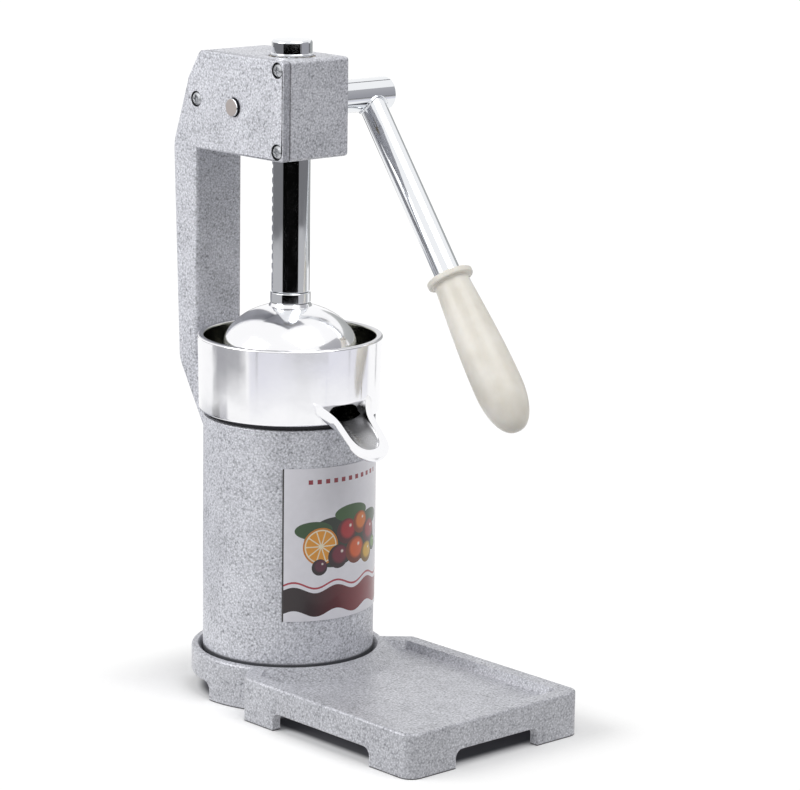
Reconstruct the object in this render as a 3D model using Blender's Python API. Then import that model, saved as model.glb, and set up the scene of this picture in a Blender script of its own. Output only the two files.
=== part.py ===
"""Manual lever juicer: cast base, column, bowl, rack-driven press cup and crank lever.

Metres, +Z up. While modelling, the ram's axis is the Z axis, the ground is z = 0, the tray
points to -Y and the lever is on the +X side. At the end the whole object moves so that the
origin is the middle of its bounding box's bottom.
"""
from math import acos, cos, pi, radians, sin, sqrt, tan

import bmesh
import bpy
from mathutils import Vector

# Fits
TOUCH_GAP = 0.0003
RUNNING_GAP = 0.0003
BOLT_HOLE_GAP = 0.0004

# Base casting
BASE_HEIGHT = 0.0295
BASE_EDGE_ROUND = 0.0014
BASE_SKIRT_WALL = 0.0065
SOCKET_RING_WALL = 0.0075
SOCKET_DEPTH = 0.0075
SOCKET_FLARE = 0.0031
SOCKET_FLOOR_THICKNESS = 0.008
TRAY_LENGTH = 0.1393
TRAY_OVERHANG = 0.00985
TRAY_OVERLAP = 0.0207
TRAY_CORNER_ROUND = 0.009
TRAY_LIP_WIDTH = 0.0105
TRAY_LIP_ROUND = 0.006
TRAY_RECESS_DEPTH = 0.0058
TRAY_WALL_SLOPE = 0.002
TRAY_BANK_WIDTH = 0.012
TRAY_FLOOR_THICKNESS = 0.006
FOOT_GAP_HEIGHT = 0.0122
FOOT_GAP_ROUND = 0.0055
FOOT_LENGTH_FRONT = 0.039
FOOT_LENGTH_SIDE = 0.038
FOOT_LENGTH_REAR = 0.029
RING_FOOT_GAP_WIDTH = 0.0565
RING_FOOT_GAP_ANGLE = radians(30)

# Column
COLUMN_RADIUS = 0.05715
COLUMN_WALL = 0.0045
COLUMN_LENGTH = 0.1652
FOOT_PLATE_THICKNESS = 0.008
BASE_BOLT_RADIUS = 0.004
BASE_BOLT_INSET = 0.0186
LABEL_THICKNESS = 0.0004
LABEL_HALF_ANGLE = radians(44.6)
LABEL_BELOW = 0.0375
LABEL_ABOVE = 0.025

# Bowl, strainer and cone
BOWL_OVERHANG = 0.00405
BOWL_TAPER = 0.0012
BOWL_WALL = 0.0044
BOWL_RISE = 0.0534
BOWL_UNDERCUT = 0.003
BOWL_CORNER_ROUND = 0.0016
BOWL_LIP_ROUND = 0.0015
BOWL_SEAT_LEDGE = 0.0025
BOWL_FLOOR_THICKNESS = 0.0052
BOWL_SPIGOT_DEPTH = 0.0055
BOWL_SPIGOT_WALL = 0.004
STRAINER_LEDGE_WIDTH = 0.003
STRAINER_LEDGE_HEIGHT = 0.011
STRAINER_THICKNESS = 0.0015
STRAINER_SLOTS = 18
STRAINER_SLOT_WIDTH = 0.0024
CONE_CLEARANCE = 0.0055
CONE_HEIGHT = 0.034
CONE_SKIRT = 0.003
CONE_HUB_RADIUS = 0.012
CONE_RIBS = 10
CONE_RIB_DEPTH = 0.06
SPOUT_TURN = radians(4)
SPOUT_HALF_WIDTH = 0.017
SPOUT_TAPER = 0.002
SPOUT_FLARE = 0.0044
SPOUT_FLARE_LENGTH = 0.011
SPOUT_FLARE_BACK = 0.0016
SPOUT_WALL = 0.005
SPOUT_REACH = 0.0334
SPOUT_SLOPE = radians(39)
SPOUT_DEPTH = 0.0135
SPOUT_THINNING = 0.6
SPOUT_TIP_ROUND = 0.012
SPOUT_LIP_RISE = 0.0145
SPOUT_OVERCUT = 0.0006

# Press cup
CUP_CLEARANCE = 0.0113
CUP_DOME_HEIGHT = 0.032
CUP_SKIRT = 0.0055
CUP_WALL = 0.004
CUP_DROP = 0.0114
CUP_BOSS_DEPTH = 0.008
CUP_CROWN_RISE = 0.002
COLLAR_STEP = 0.0007
COLLAR_HEIGHT = 0.0068
CUP_SCREW_FLANGE = 0.003
CUP_SCREW_HEAD_HEIGHT = 0.004
CUP_SCREW_RADIUS = 0.004

# Ram and rack
RAM_RADIUS = 0.0125
RAM_SHOULDER = 0.0045
RAM_EDGE = 0.0006
MODULE = 0.002
PRESSURE_ANGLE = radians(20)
TOOTH_PLAY = 0.0003
RACK_INSET = 0.0051
THROAT_HEIGHT = 0.1181
LIFT_STOP_GAP = 0.0015
CAP_HEIGHT = 0.0104
CAP_STEP = 0.0007
CAP_FOOT_STEP = 0.0013
CAP_FOOT_THICKNESS = 0.0014
CAP_EDGE = 0.0016
CAP_STUD_RADIUS = 0.004
CAP_STUD_LENGTH = 0.014

# Gearbox head
PINION_TEETH = 18
PINION_WIDTH = 0.016
PINION_HUB_WALL = 0.0045
PINION_CLEARANCE = 0.0015
HEAD_FLOOR = 0.0095
HEAD_ROOF = 0.0127
HEAD_FRONT_WALL = 0.0087
HEAD_SIDE_WALL = 0.0124
HEAD_RIGHT_WALL = 0.016
HEAD_CHAMFER_Y = 0.0125
HEAD_CHAMFER_Z = 0.0195
HEAD_EDGE_ROUND = 0.0015
CAVITY_MARGIN = 0.0035
CAVITY_CORNER_ROUND = 0.005
COVER_THICKNESS = 0.0063
COVER_EDGE_ROUND = 0.001
BUSH_WALL = 0.0025
SHAFT_BUSH_WALL = 0.0022
COVER_SCREW_RADIUS = 0.0025
COVER_SCREW_HEAD_RADIUS = 0.0044
COVER_SCREW_HEAD_HEIGHT = 0.0026
COVER_SCREW_LENGTH = 0.016
COVER_SCREW_SINK = 0.0024
COVER_SCREW_RECESS_GAP = 0.0007
COVER_SCREW_INSET = 0.0063
REAR_SCREW_INSET = 0.009

# Arm
ARM_HALF_WIDTH = 0.02
ARM_THICKNESS = 0.0252
ARM_CLEARANCE = 0.0131
ARM_EDGE_ROUND = 0.003
ARM_TAPER = 0.006
ARM_HEAD_STEP = 0.001
ARM_HEAD_OVERLAP = 0.02
ARM_TOP_DROP = 0.0125
ARM_TOP_REACH = 0.0035
ARM_SHOULDER_REACH = 0.0115
ARM_SHOULDER_DROP = 0.0225
ARM_BEND_ABOVE = 0.024
ARM_BEND_BELOW = 0.027
SADDLE_LENGTH = 0.0755
SADDLE_THICKNESS = 0.0055
SADDLE_TOP_GAP = 0.003
ARM_BOLT_RADIUS = 0.004
ARM_BOLT_SPACING = 0.024
ARM_BOLT_RISE = 0.013
BACKING_PLATE_THICKNESS = 0.008
BACKING_PLATE_HALF_WIDTH = 0.017
BACKING_PLATE_MARGIN = 0.01

# Crank
SHAFT_RADIUS = 0.0112
SHAFT_SEAT_STEP = 0.0022
JOURNAL_STEP = 0.003
JOURNAL_PROUD = 0.0022
SHAFT_OVERHANG = 0.0765
SHAFT_EDGE = 0.0008
HUB_END_GAP = 0.0012
PINION_PIN_RADIUS = 0.0025
LEVER_END_MARGIN = 0.0159
LEVER_LEAN = radians(36.45)
LEVER_TUBE_RADIUS = 0.009
LEVER_TUBE_WALL = 0.002
LEVER_LENGTH = 0.2555
GRIP_LENGTH = 0.116
GRIP_WALL = 0.0029
GRIP_SWELL = 0.0041
GRIP_FLANGE_STEP = 0.0037
GRIP_FLANGE_THICKNESS = 0.0045
GRIP_BORE_DEPTH = 0.086

# Smoothness of round pieces, and how near two points must be to become one
WELD_DISTANCE = 0.000004
LARGE_SEGMENTS = 48
MEDIUM_SEGMENTS = 24
SMALL_SEGMENTS = 12

# Radii that follow from the sizes above
RING_RADIUS = COLUMN_RADIUS + SOCKET_RING_WALL
COLUMN_BORE = COLUMN_RADIUS - COLUMN_WALL
BOWL_RADIUS = COLUMN_RADIUS + BOWL_OVERHANG
BOWL_BORE = BOWL_RADIUS - BOWL_WALL
STRAINER_RADIUS = BOWL_BORE - TOUCH_GAP
CUP_RADIUS = BOWL_BORE - CUP_CLEARANCE
CONE_RADIUS = CUP_RADIUS - CUP_WALL - CONE_CLEARANCE
COLLAR_RADIUS = RAM_RADIUS + COLLAR_STEP
RAM_SPIGOT_RADIUS = RAM_RADIUS - RAM_SHOULDER
CUP_SCREW_HEAD_RADIUS = RAM_SPIGOT_RADIUS + CUP_SCREW_FLANGE
RAM_BUSH_SEAT = RAM_RADIUS + RUNNING_GAP + BUSH_WALL + TOUCH_GAP
SHAFT_BUSH_SEAT = SHAFT_RADIUS + RUNNING_GAP + SHAFT_BUSH_WALL + TOUCH_GAP
SHAFT_SEAT_RADIUS = SHAFT_RADIUS - SHAFT_SEAT_STEP
JOURNAL_RADIUS = SHAFT_SEAT_RADIUS - JOURNAL_STEP
PITCH_RADIUS = MODULE * PINION_TEETH / 2
TIP_RADIUS = PITCH_RADIUS + MODULE
ROOT_RADIUS = PITCH_RADIUS - 1.25 * MODULE
PINION_HUB_RADIUS = SHAFT_SEAT_RADIUS + PINION_HUB_WALL
RACK_PITCH = pi * MODULE
RACK_PITCH_OFFSET = RAM_RADIUS - RACK_INSET
GRIP_NECK_RADIUS = LEVER_TUBE_RADIUS + TOUCH_GAP + GRIP_WALL

# Levels that follow, from the ground up
SOCKET_FLOOR = BASE_HEIGHT - SOCKET_DEPTH
SOCKET_UNDERSIDE = SOCKET_FLOOR - SOCKET_FLOOR_THICKNESS
TRAY_FLOOR = BASE_HEIGHT - TRAY_RECESS_DEPTH
COLUMN_BOTTOM = SOCKET_FLOOR + TOUCH_GAP
COLUMN_TOP = COLUMN_BOTTOM + COLUMN_LENGTH
FOOT_PLATE_TOP = COLUMN_BOTTOM + FOOT_PLATE_THICKNESS
SADDLE_BOTTOM = COLUMN_TOP - SADDLE_LENGTH
BOWL_SEAT = COLUMN_TOP + TOUCH_GAP
BOWL_FLOOR = BOWL_SEAT + BOWL_FLOOR_THICKNESS
BOWL_RIM = COLUMN_TOP + BOWL_RISE
STRAINER_LEDGE = BOWL_FLOOR + STRAINER_LEDGE_HEIGHT
STRAINER_BOTTOM = STRAINER_LEDGE + TOUCH_GAP
STRAINER_TOP = STRAINER_BOTTOM + STRAINER_THICKNESS
SPOUT_LIP = BOWL_SEAT + SPOUT_LIP_RISE
CUP_EQUATOR = BOWL_RIM - CUP_DROP
CUP_BOSS_TOP = CUP_EQUATOR + CUP_DOME_HEIGHT * sqrt(1 - (COLLAR_RADIUS / CUP_RADIUS) ** 2) + CUP_CROWN_RISE
CUP_BOSS_BOTTOM = CUP_EQUATOR + CUP_DOME_HEIGHT - CUP_WALL - CUP_BOSS_DEPTH
COLLAR_BOTTOM = CUP_BOSS_TOP + TOUCH_GAP
COLLAR_TOP = COLLAR_BOTTOM + COLLAR_HEIGHT
RAM_BOTTOM = COLLAR_TOP + TOUCH_GAP
HEAD_BOTTOM = BOWL_RIM + THROAT_HEIGHT
CAVITY_BOTTOM = HEAD_BOTTOM + HEAD_FLOOR
SHAFT_Z = CAVITY_BOTTOM + PINION_CLEARANCE + TIP_RADIUS
CAVITY_TOP = SHAFT_Z + TIP_RADIUS + PINION_CLEARANCE
HEAD_TOP = CAVITY_TOP + HEAD_ROOF
RAM_TOP = HEAD_TOP - TOUCH_GAP
CAP_BOTTOM = HEAD_TOP + TOUCH_GAP
RAM_LIFT = HEAD_BOTTOM - COLLAR_TOP - LIFT_STOP_GAP

# Places that follow, from front to back and from left to right
TRAY_HALF_WIDTH = RING_RADIUS + TRAY_OVERHANG
TRAY_FRONT = -(RING_RADIUS + TRAY_LENGTH)
TRAY_REAR = TRAY_OVERLAP - RING_RADIUS
SADDLE_REAR = COLUMN_RADIUS + SADDLE_THICKNESS
ARM_FRONT = BOWL_RADIUS + ARM_CLEARANCE
ARM_REAR = ARM_FRONT + ARM_THICKNESS
HEAD_FRONT = -(RAM_BUSH_SEAT + HEAD_FRONT_WALL)
HEAD_REAR = ARM_FRONT - ARM_HEAD_STEP
HEAD_HALF_WIDTH = RAM_BUSH_SEAT + HEAD_SIDE_WALL
SHAFT_Y = RACK_PITCH_OFFSET + PITCH_RADIUS
CAVITY_FRONT = -(RAM_RADIUS + CAVITY_MARGIN)
CAVITY_REAR = SHAFT_Y + TIP_RADIUS + PINION_CLEARANCE
CAVITY_RIGHT = HEAD_HALF_WIDTH - HEAD_RIGHT_WALL
COVER_LEFT = -HEAD_HALF_WIDTH
COVER_RIGHT = COVER_LEFT + COVER_THICKNESS
HEAD_LEFT = COVER_RIGHT + TOUCH_GAP
HUB_LEFT = COVER_RIGHT + HUB_END_GAP
HUB_RIGHT = CAVITY_RIGHT - TOUCH_GAP
PIN_X = (HUB_LEFT - PINION_WIDTH / 2) / 2
SHAFT_END = HEAD_HALF_WIDTH + SHAFT_OVERHANG
LEVER_X = SHAFT_END - LEVER_END_MARGIN
SHAFT_AXIS = Vector((0, SHAFT_Y, SHAFT_Z))
LEVER_DIRECTION = Vector((0, -sin(LEVER_LEAN), -cos(LEVER_LEAN)))


# Outlines are lists of 2D points that run anticlockwise.

def arc(centre, radius, start, end, steps):
    """Points on a circle from one angle to another."""
    angles = [start + (end - start) * i / steps for i in range(steps + 1)]
    return [(centre[0] + radius * cos(a), centre[1] + radius * sin(a)) for a in angles]


def rounded(corners, radius, steps=5):
    """Outline of a polygon with each corner turned by an arc; a corner may give its own radius."""
    points = []
    count = len(corners)
    for i, corner in enumerate(corners):
        here = Vector(corner[:2])
        before = (Vector(corners[i - 1][:2]) - here).normalized()
        after = (Vector(corners[(i + 1) % count][:2]) - here).normalized()
        size = corner[2] if len(corner) > 2 else radius
        half = before.angle(after) / 2
        if size <= 0 or half > radians(89):
            points.append(tuple(here))
            continue
        centre = here + (before + after).normalized() * size / sin(half)
        start = here + before * size / tan(half) - centre
        end = here + after * size / tan(half) - centre
        sweep = start.angle_signed(end)
        for k in range(steps + 1):
            turned_by = -sweep * k / steps
            points.append((
                centre.x + start.x * cos(turned_by) - start.y * sin(turned_by),
                centre.y + start.x * sin(turned_by) + start.y * cos(turned_by),
            ))
    return points


def inset(outline, distance):
    """The outline moved inwards by a distance, edge by edge."""
    if distance == 0:
        return list(outline)
    points = []
    count = len(outline)
    for i in range(count):
        here = Vector(outline[i])
        before = (here - Vector(outline[i - 1])).normalized()
        after = (Vector(outline[(i + 1) % count]) - here).normalized()
        normal = Vector((-before.y - after.y, before.x + after.x)).normalized()
        stretch = max(0.2, normal.dot(Vector((-after.y, after.x))))
        points.append(tuple(here + normal * distance / stretch))
    return points


def circle(radius, segments, centre=(0, 0)):
    """A full circle as an outline."""
    return arc(centre, radius, 0, 2 * pi * (segments - 1) / segments, segments - 1)


# Solids

def add_object(name, bm):
    """Turns a bmesh into a named object with outward faces."""
    bmesh.ops.recalc_face_normals(bm, faces=bm.faces)
    mesh = bpy.data.meshes.new(name)
    bm.to_mesh(mesh)
    bm.free()
    piece = bpy.data.objects.new(name, mesh)
    bpy.context.scene.collection.objects.link(piece)
    return piece


def stacked(name, layers, axis="Z"):
    """A closed solid through outlines with equal point counts, each at its own height on an axis."""
    bm = bmesh.new()
    rings = []
    for outline, height in layers:
        place = {
            "X": lambda u, v, h=height: (h, u, v),
            "Y": lambda u, v, h=height: (u, h, v),
            "Z": lambda u, v, h=height: (u, v, h),
        }[axis]
        rings.append([bm.verts.new(place(u, v)) for u, v in outline])
    for lower, upper in zip(rings, rings[1:]):
        count = len(lower)
        for i in range(count):
            j = (i + 1) % count
            bm.faces.new((lower[i], lower[j], upper[j], upper[i]))
    bm.faces.new(reversed(rings[0]))
    bm.faces.new(rings[-1])
    return add_object(name, bm)


def slab(name, outline, low, high, axis="Z", edge=0.0):
    """An outline extruded between two heights, with its end edges rounded where asked."""
    if edge == 0:
        return stacked(name, [(outline, low), (outline, high)], axis)
    corner = edge * 0.3
    layers = [
        (inset(outline, edge), low),
        (inset(outline, corner), low + corner),
        (outline, low + edge),
        (outline, high - edge),
        (inset(outline, corner), high - corner),
        (inset(outline, edge), high),
    ]
    return stacked(name, layers, axis)


def turned(name, profile, segments, location=(0, 0, 0), direction=(0, 0, 1)):
    """A profile of (radius, height) points turned about an axis; it closes on the axis or on itself."""
    bm = bmesh.new()
    rings = []
    for radius, height in profile:
        points = circle(radius, segments) if radius > 0 else [(0, 0)]
        rings.append([bm.verts.new((u, v, height)) for u, v in points])
    pairs = list(zip(rings, rings[1:]))
    if profile[0][0] > 0:
        pairs.append((rings[-1], rings[0]))
    for first, second in pairs:
        tip, wide = sorted((first, second), key=len)
        if len(tip) > 1:
            for i in range(segments):
                j = (i + 1) % segments
                bm.faces.new((first[i], first[j], second[j], second[i]))
        elif tip[0].co.z == wide[0].co.z:
            bm.faces.new(wide)
            bm.verts.remove(tip[0])
        else:
            for i in range(segments):
                bm.faces.new((wide[i], wide[(i + 1) % segments], tip[0]))
    piece = add_object(name, bm)
    point_along(piece, location, direction)
    return piece


def point_along(piece, location, direction):
    """Puts a piece built along +Z at a point, facing along a direction."""
    piece.location = location
    piece.rotation_euler = Vector((0, 0, 1)).rotation_difference(Vector(direction)).to_euler()


def rod(name, radius, start, end, segments=SMALL_SEGMENTS):
    """A plain cylinder between two points."""
    along = Vector(end) - Vector(start)
    profile = [(0, 0), (radius, 0), (radius, along.length), (0, along.length)]
    return turned(name, profile, segments, start, along)


def combine(piece, tool, operation="DIFFERENCE"):
    """Cuts a piece with a tool, or joins them, and removes the tool."""
    modifier = piece.modifiers.new("combine", "BOOLEAN")
    modifier.operation = operation
    modifier.solver = "EXACT"
    modifier.object = tool
    bpy.context.view_layer.update()
    bpy.context.view_layer.objects.active = piece
    bpy.ops.object.modifier_apply(modifier=modifier.name)
    bpy.data.objects.remove(tool, do_unlink=True)
    bm = bmesh.new()
    bm.from_mesh(piece.data)
    bmesh.ops.remove_doubles(bm, verts=bm.verts, dist=WELD_DISTANCE)
    bmesh.ops.dissolve_degenerate(bm, edges=bm.edges, dist=WELD_DISTANCE)
    bm.to_mesh(piece.data)
    bm.free()
    return piece


def join(piece, tool):
    """Joins two overlapping solids into one."""
    return combine(piece, tool, "UNION")


def drill(piece, radius, start, end, segments=SMALL_SEGMENTS):
    """Drills a round hole between two points."""
    return combine(piece, rod("drill", radius, start, end, segments))


def set_origin(piece, point):
    """Moves a piece's origin to a point and leaves the piece where it is."""
    offset = Vector(point) - piece.location
    for vertex in piece.data.vertices:
        vertex.co -= offset
    piece.location = point


def smooth(piece, angle=radians(35)):
    """Shades a piece smooth and keeps its edges."""
    piece.data.shade_smooth()
    piece.data.set_sharp_from_angle(angle=angle)


def finish(name, colour, roughness, metallic):
    """A plain Principled material."""
    material = bpy.data.materials.new(name)
    material.use_nodes = True
    shader = material.node_tree.nodes["Principled BSDF"]
    shader.inputs["Base Color"].default_value = (*colour, 1)
    shader.inputs["Roughness"].default_value = roughness
    shader.inputs["Metallic"].default_value = metallic
    return material


# Base casting: a socket ring and a tray with a raised lip, hollow underneath, on cast feet

def tray_outline(margin, corner):
    """Plan of the tray, moved inwards by a margin; its rear end runs into the socket ring."""
    inside_ring = RING_RADIUS - SOCKET_RING_WALL / 2
    meet_angle = radians(-26)
    meet = (inside_ring * cos(meet_angle), inside_ring * sin(meet_angle))
    width = TRAY_HALF_WIDTH
    plan = inset([
        (-width, TRAY_FRONT), (width, TRAY_FRONT), (width, TRAY_REAR), meet,
        (-meet[0], meet[1]), (-width, TRAY_REAR),
    ], margin)
    rounds = (corner, corner, corner / 2, 0, 0, corner / 2)
    return rounded([(x, y, size) for (x, y), size in zip(plan, rounds)], corner)


def foot_gap(low, high, axis, start, end):
    """Cutter for the gap between two feet: a slot with round upper corners."""
    below = -FOOT_GAP_HEIGHT
    outline = rounded([
        (low, below, 0), (high, below, 0), (high, FOOT_GAP_HEIGHT), (low, FOOT_GAP_HEIGHT),
    ], FOOT_GAP_ROUND)
    return slab("foot_gap", outline, start, end, axis)


def make_base():
    edge = BASE_EDGE_ROUND
    soft = edge * 0.3
    beyond = BASE_HEIGHT / 3
    above = BASE_HEIGHT + beyond
    outline = tray_outline(0, TRAY_CORNER_ROUND)
    base = stacked("base_casting", [
        (outline, 0), (outline, BASE_HEIGHT - edge), (inset(outline, soft), BASE_HEIGHT - soft),
        (inset(outline, edge), BASE_HEIGHT),
    ])
    join(base, turned("ring", [
        (0, 0), (RING_RADIUS, 0), (RING_RADIUS, BASE_HEIGHT - edge),
        (RING_RADIUS - soft, BASE_HEIGHT - soft), (RING_RADIUS - edge, BASE_HEIGHT), (0, BASE_HEIGHT),
    ], LARGE_SEGMENTS))

    # The tray's recess stops at a sloped bank in front of the socket ring.
    wide = tray_outline(TRAY_LIP_WIDTH, TRAY_LIP_ROUND)
    narrow = tray_outline(TRAY_LIP_WIDTH + TRAY_WALL_SLOPE, TRAY_LIP_ROUND)
    recess = stacked("recess", [(narrow, TRAY_FLOOR), (wide, BASE_HEIGHT), (wide, above)])
    bank_foot = RING_RADIUS + TRAY_BANK_WIDTH
    bank_top = RING_RADIUS + edge
    combine(recess, turned("bank", [
        (0, 0), (bank_foot, 0), (bank_foot, TRAY_FLOOR), (bank_top, BASE_HEIGHT),
        (bank_top, above + beyond), (0, above + beyond),
    ], LARGE_SEGMENTS))
    combine(base, recess)

    # Underneath, the tray and the socket are hollow, each inside its own wall.
    below = tray_outline(BASE_SKIRT_WALL, TRAY_LIP_ROUND)
    hollow = slab("hollow", below, -beyond, TRAY_FLOOR - TRAY_FLOOR_THICKNESS)
    drill(hollow, RING_RADIUS, (0, 0, -beyond * 2), (0, 0, above), LARGE_SEGMENTS)
    combine(base, hollow)
    drill(base, COLUMN_RADIUS, (0, 0, -beyond), (0, 0, SOCKET_UNDERSIDE), LARGE_SEGMENTS)

    # The socket takes the column; its mouth flares.
    socket_radius = COLUMN_RADIUS + TOUCH_GAP
    mouth_radius = socket_radius + SOCKET_FLARE
    combine(base, turned("socket", [
        (0, SOCKET_FLOOR), (socket_radius, SOCKET_FLOOR), (socket_radius, BASE_HEIGHT - SOCKET_FLARE),
        (mouth_radius, BASE_HEIGHT), (mouth_radius, above), (0, above),
    ], LARGE_SEGMENTS))
    for x, y in bolt_places():
        drill(base, BASE_BOLT_RADIUS + BOLT_HOLE_GAP, (x, y, 0), (x, y, BASE_HEIGHT))

    width = TRAY_HALF_WIDTH
    side_gap = (TRAY_FRONT + FOOT_LENGTH_SIDE, TRAY_REAR - FOOT_LENGTH_REAR)
    combine(base, foot_gap(*side_gap, "X", -width - beyond, width + beyond))
    front = width - FOOT_LENGTH_FRONT
    combine(base, foot_gap(-front, front, "Y", TRAY_FRONT - beyond, TRAY_FRONT + BASE_SKIRT_WALL + beyond))
    half_gap = RING_FOOT_GAP_WIDTH / 2
    for side in (1, -1):
        gap = foot_gap(-half_gap, half_gap, "Y", RING_RADIUS * 0.75, RING_RADIUS + beyond)
        gap.rotation_euler = (0, 0, side * (pi / 2 - RING_FOOT_GAP_ANGLE))
        combine(base, gap)
    smooth(base)
    return base


# Column: a steel tube that stands in the socket and is bolted down through a foot plate

def bolt_places():
    """Centres of the three base bolts."""
    circle_radius = COLUMN_BORE - BASE_BOLT_INSET
    return circle(circle_radius, 3)


def arm_bolt_heights():
    """Heights of the two arm bolts, in the straight part of the saddle."""
    lowest = SADDLE_BOTTOM + ARM_BOLT_RISE
    return {"lower": lowest, "upper": lowest + ARM_BOLT_SPACING}


def make_column():
    edge = 0.0008
    column = turned("column_tube", [
        (COLUMN_BORE, COLUMN_BOTTOM), (COLUMN_RADIUS, COLUMN_BOTTOM), (COLUMN_RADIUS, COLUMN_TOP - edge),
        (COLUMN_RADIUS - edge, COLUMN_TOP), (COLUMN_BORE, COLUMN_TOP),
    ], LARGE_SEGMENTS)
    for height in arm_bolt_heights().values():
        start = (0, COLUMN_BORE - COLUMN_WALL, height)
        drill(column, ARM_BOLT_RADIUS + BOLT_HOLE_GAP, start, (0, COLUMN_RADIUS + COLUMN_WALL, height))
    smooth(column)

    plate_radius = COLUMN_BORE - TOUCH_GAP
    plate = turned("column_foot_plate", [
        (0, COLUMN_BOTTOM), (plate_radius, COLUMN_BOTTOM),
        (plate_radius, FOOT_PLATE_TOP), (0, FOOT_PLATE_TOP),
    ], LARGE_SEGMENTS)
    for x, y in bolt_places():
        drill(plate, BASE_BOLT_RADIUS + TOUCH_GAP, (x, y, 0), (x, y, FOOT_PLATE_TOP * 2))
    smooth(plate)
    return column, plate


def hex_bolt(name, radius, shank, location, direction):
    """A hexagon bolt with a flange; its head lies behind the location and its shank points forward."""
    flange = radius * 0.4
    head = radius * 1.3
    bolt = turned(name, [
        (0, -head * 0.5), (radius * 1.3, -head * 0.5), (radius * 1.3, -flange), (radius * 2.1, -flange),
        (radius * 2.1, 0), (radius, 0), (radius, shank - radius * 0.25), (radius * 0.75, shank), (0, shank),
    ], SMALL_SEGMENTS)
    hexagon = circle(radius * 1.85, 6)
    join(bolt, slab("head", hexagon, -head, -flange * 0.5, "Z", radius * 0.1))
    point_along(bolt, location, direction)
    smooth(bolt)
    return bolt


def make_base_bolts():
    seat = SOCKET_UNDERSIDE - TOUCH_GAP
    shank = FOOT_PLATE_TOP - seat + BASE_BOLT_RADIUS * 0.5
    return [
        hex_bolt(f"base_bolt_{number}", BASE_BOLT_RADIUS, shank, (x, y, seat), (0, 0, 1))
        for number, (x, y) in enumerate(bolt_places(), 1)
    ]


def make_label():
    """A thin curved plate on the column's front."""
    inner = COLUMN_RADIUS + TOUCH_GAP
    outer = inner + LABEL_THICKNESS
    start = -pi / 2 - LABEL_HALF_ANGLE
    end = -pi / 2 + LABEL_HALF_ANGLE
    outline = arc((0, 0), outer, start, end, 16) + arc((0, 0), inner, end, start, 16)
    bottom = COLUMN_BOTTOM + LABEL_BELOW
    label = slab("column_label", outline, bottom, COLUMN_TOP - LABEL_ABOVE)
    set_origin(label, (0, -inner, bottom))
    smooth(label)
    return label


# Bowl: turned aluminium with a cast spout; it stands on the column's rim

def trough(name, margin, start, raise_lip):
    """A solid half-round trough that slopes down to the front from the bowl's side.

    Each section across it is a half ellipse under a straight top. It flares where it leaves the
    bowl, and its width closes over the last stretch, so that the tip is round in plan. The
    margin makes a narrower, shorter one. In plan it points a few degrees left of the front.
    """
    reach = SPOUT_REACH - margin
    stations = 16
    layers = []
    for i in range(stations + 1):
        along = start + (reach - start) * sin(pi / 2 * i / stations)
        share = max(0.0, along) / SPOUT_REACH
        into_tip = min(max(0.0, (along - reach + SPOUT_TIP_ROUND) / SPOUT_TIP_ROUND), 0.995)
        to_flare_end = 1 - min(max(along, -SPOUT_FLARE_BACK), SPOUT_FLARE_LENGTH) / SPOUT_FLARE_LENGTH
        full = SPOUT_HALF_WIDTH - SPOUT_TAPER * share - margin + SPOUT_FLARE * to_flare_end ** 2
        width = full * (1 - into_tip ** 2.6) ** (1 / 2.6)
        lip = SPOUT_LIP - along * tan(SPOUT_SLOPE) + raise_lip
        depth = (SPOUT_DEPTH * (1 - SPOUT_THINNING * share) - margin * 0.8) * (0.45 + 0.55 * width / full)
        outline = [(width * cos(a), lip + depth * sin(a)) for a in [pi + pi * k / 8 for k in range(9)]]
        layers.append((outline, -(BOWL_RADIUS + along)))
    solid = stacked(name, layers, "Y")
    solid.rotation_euler.z = -SPOUT_TURN
    return solid


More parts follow.
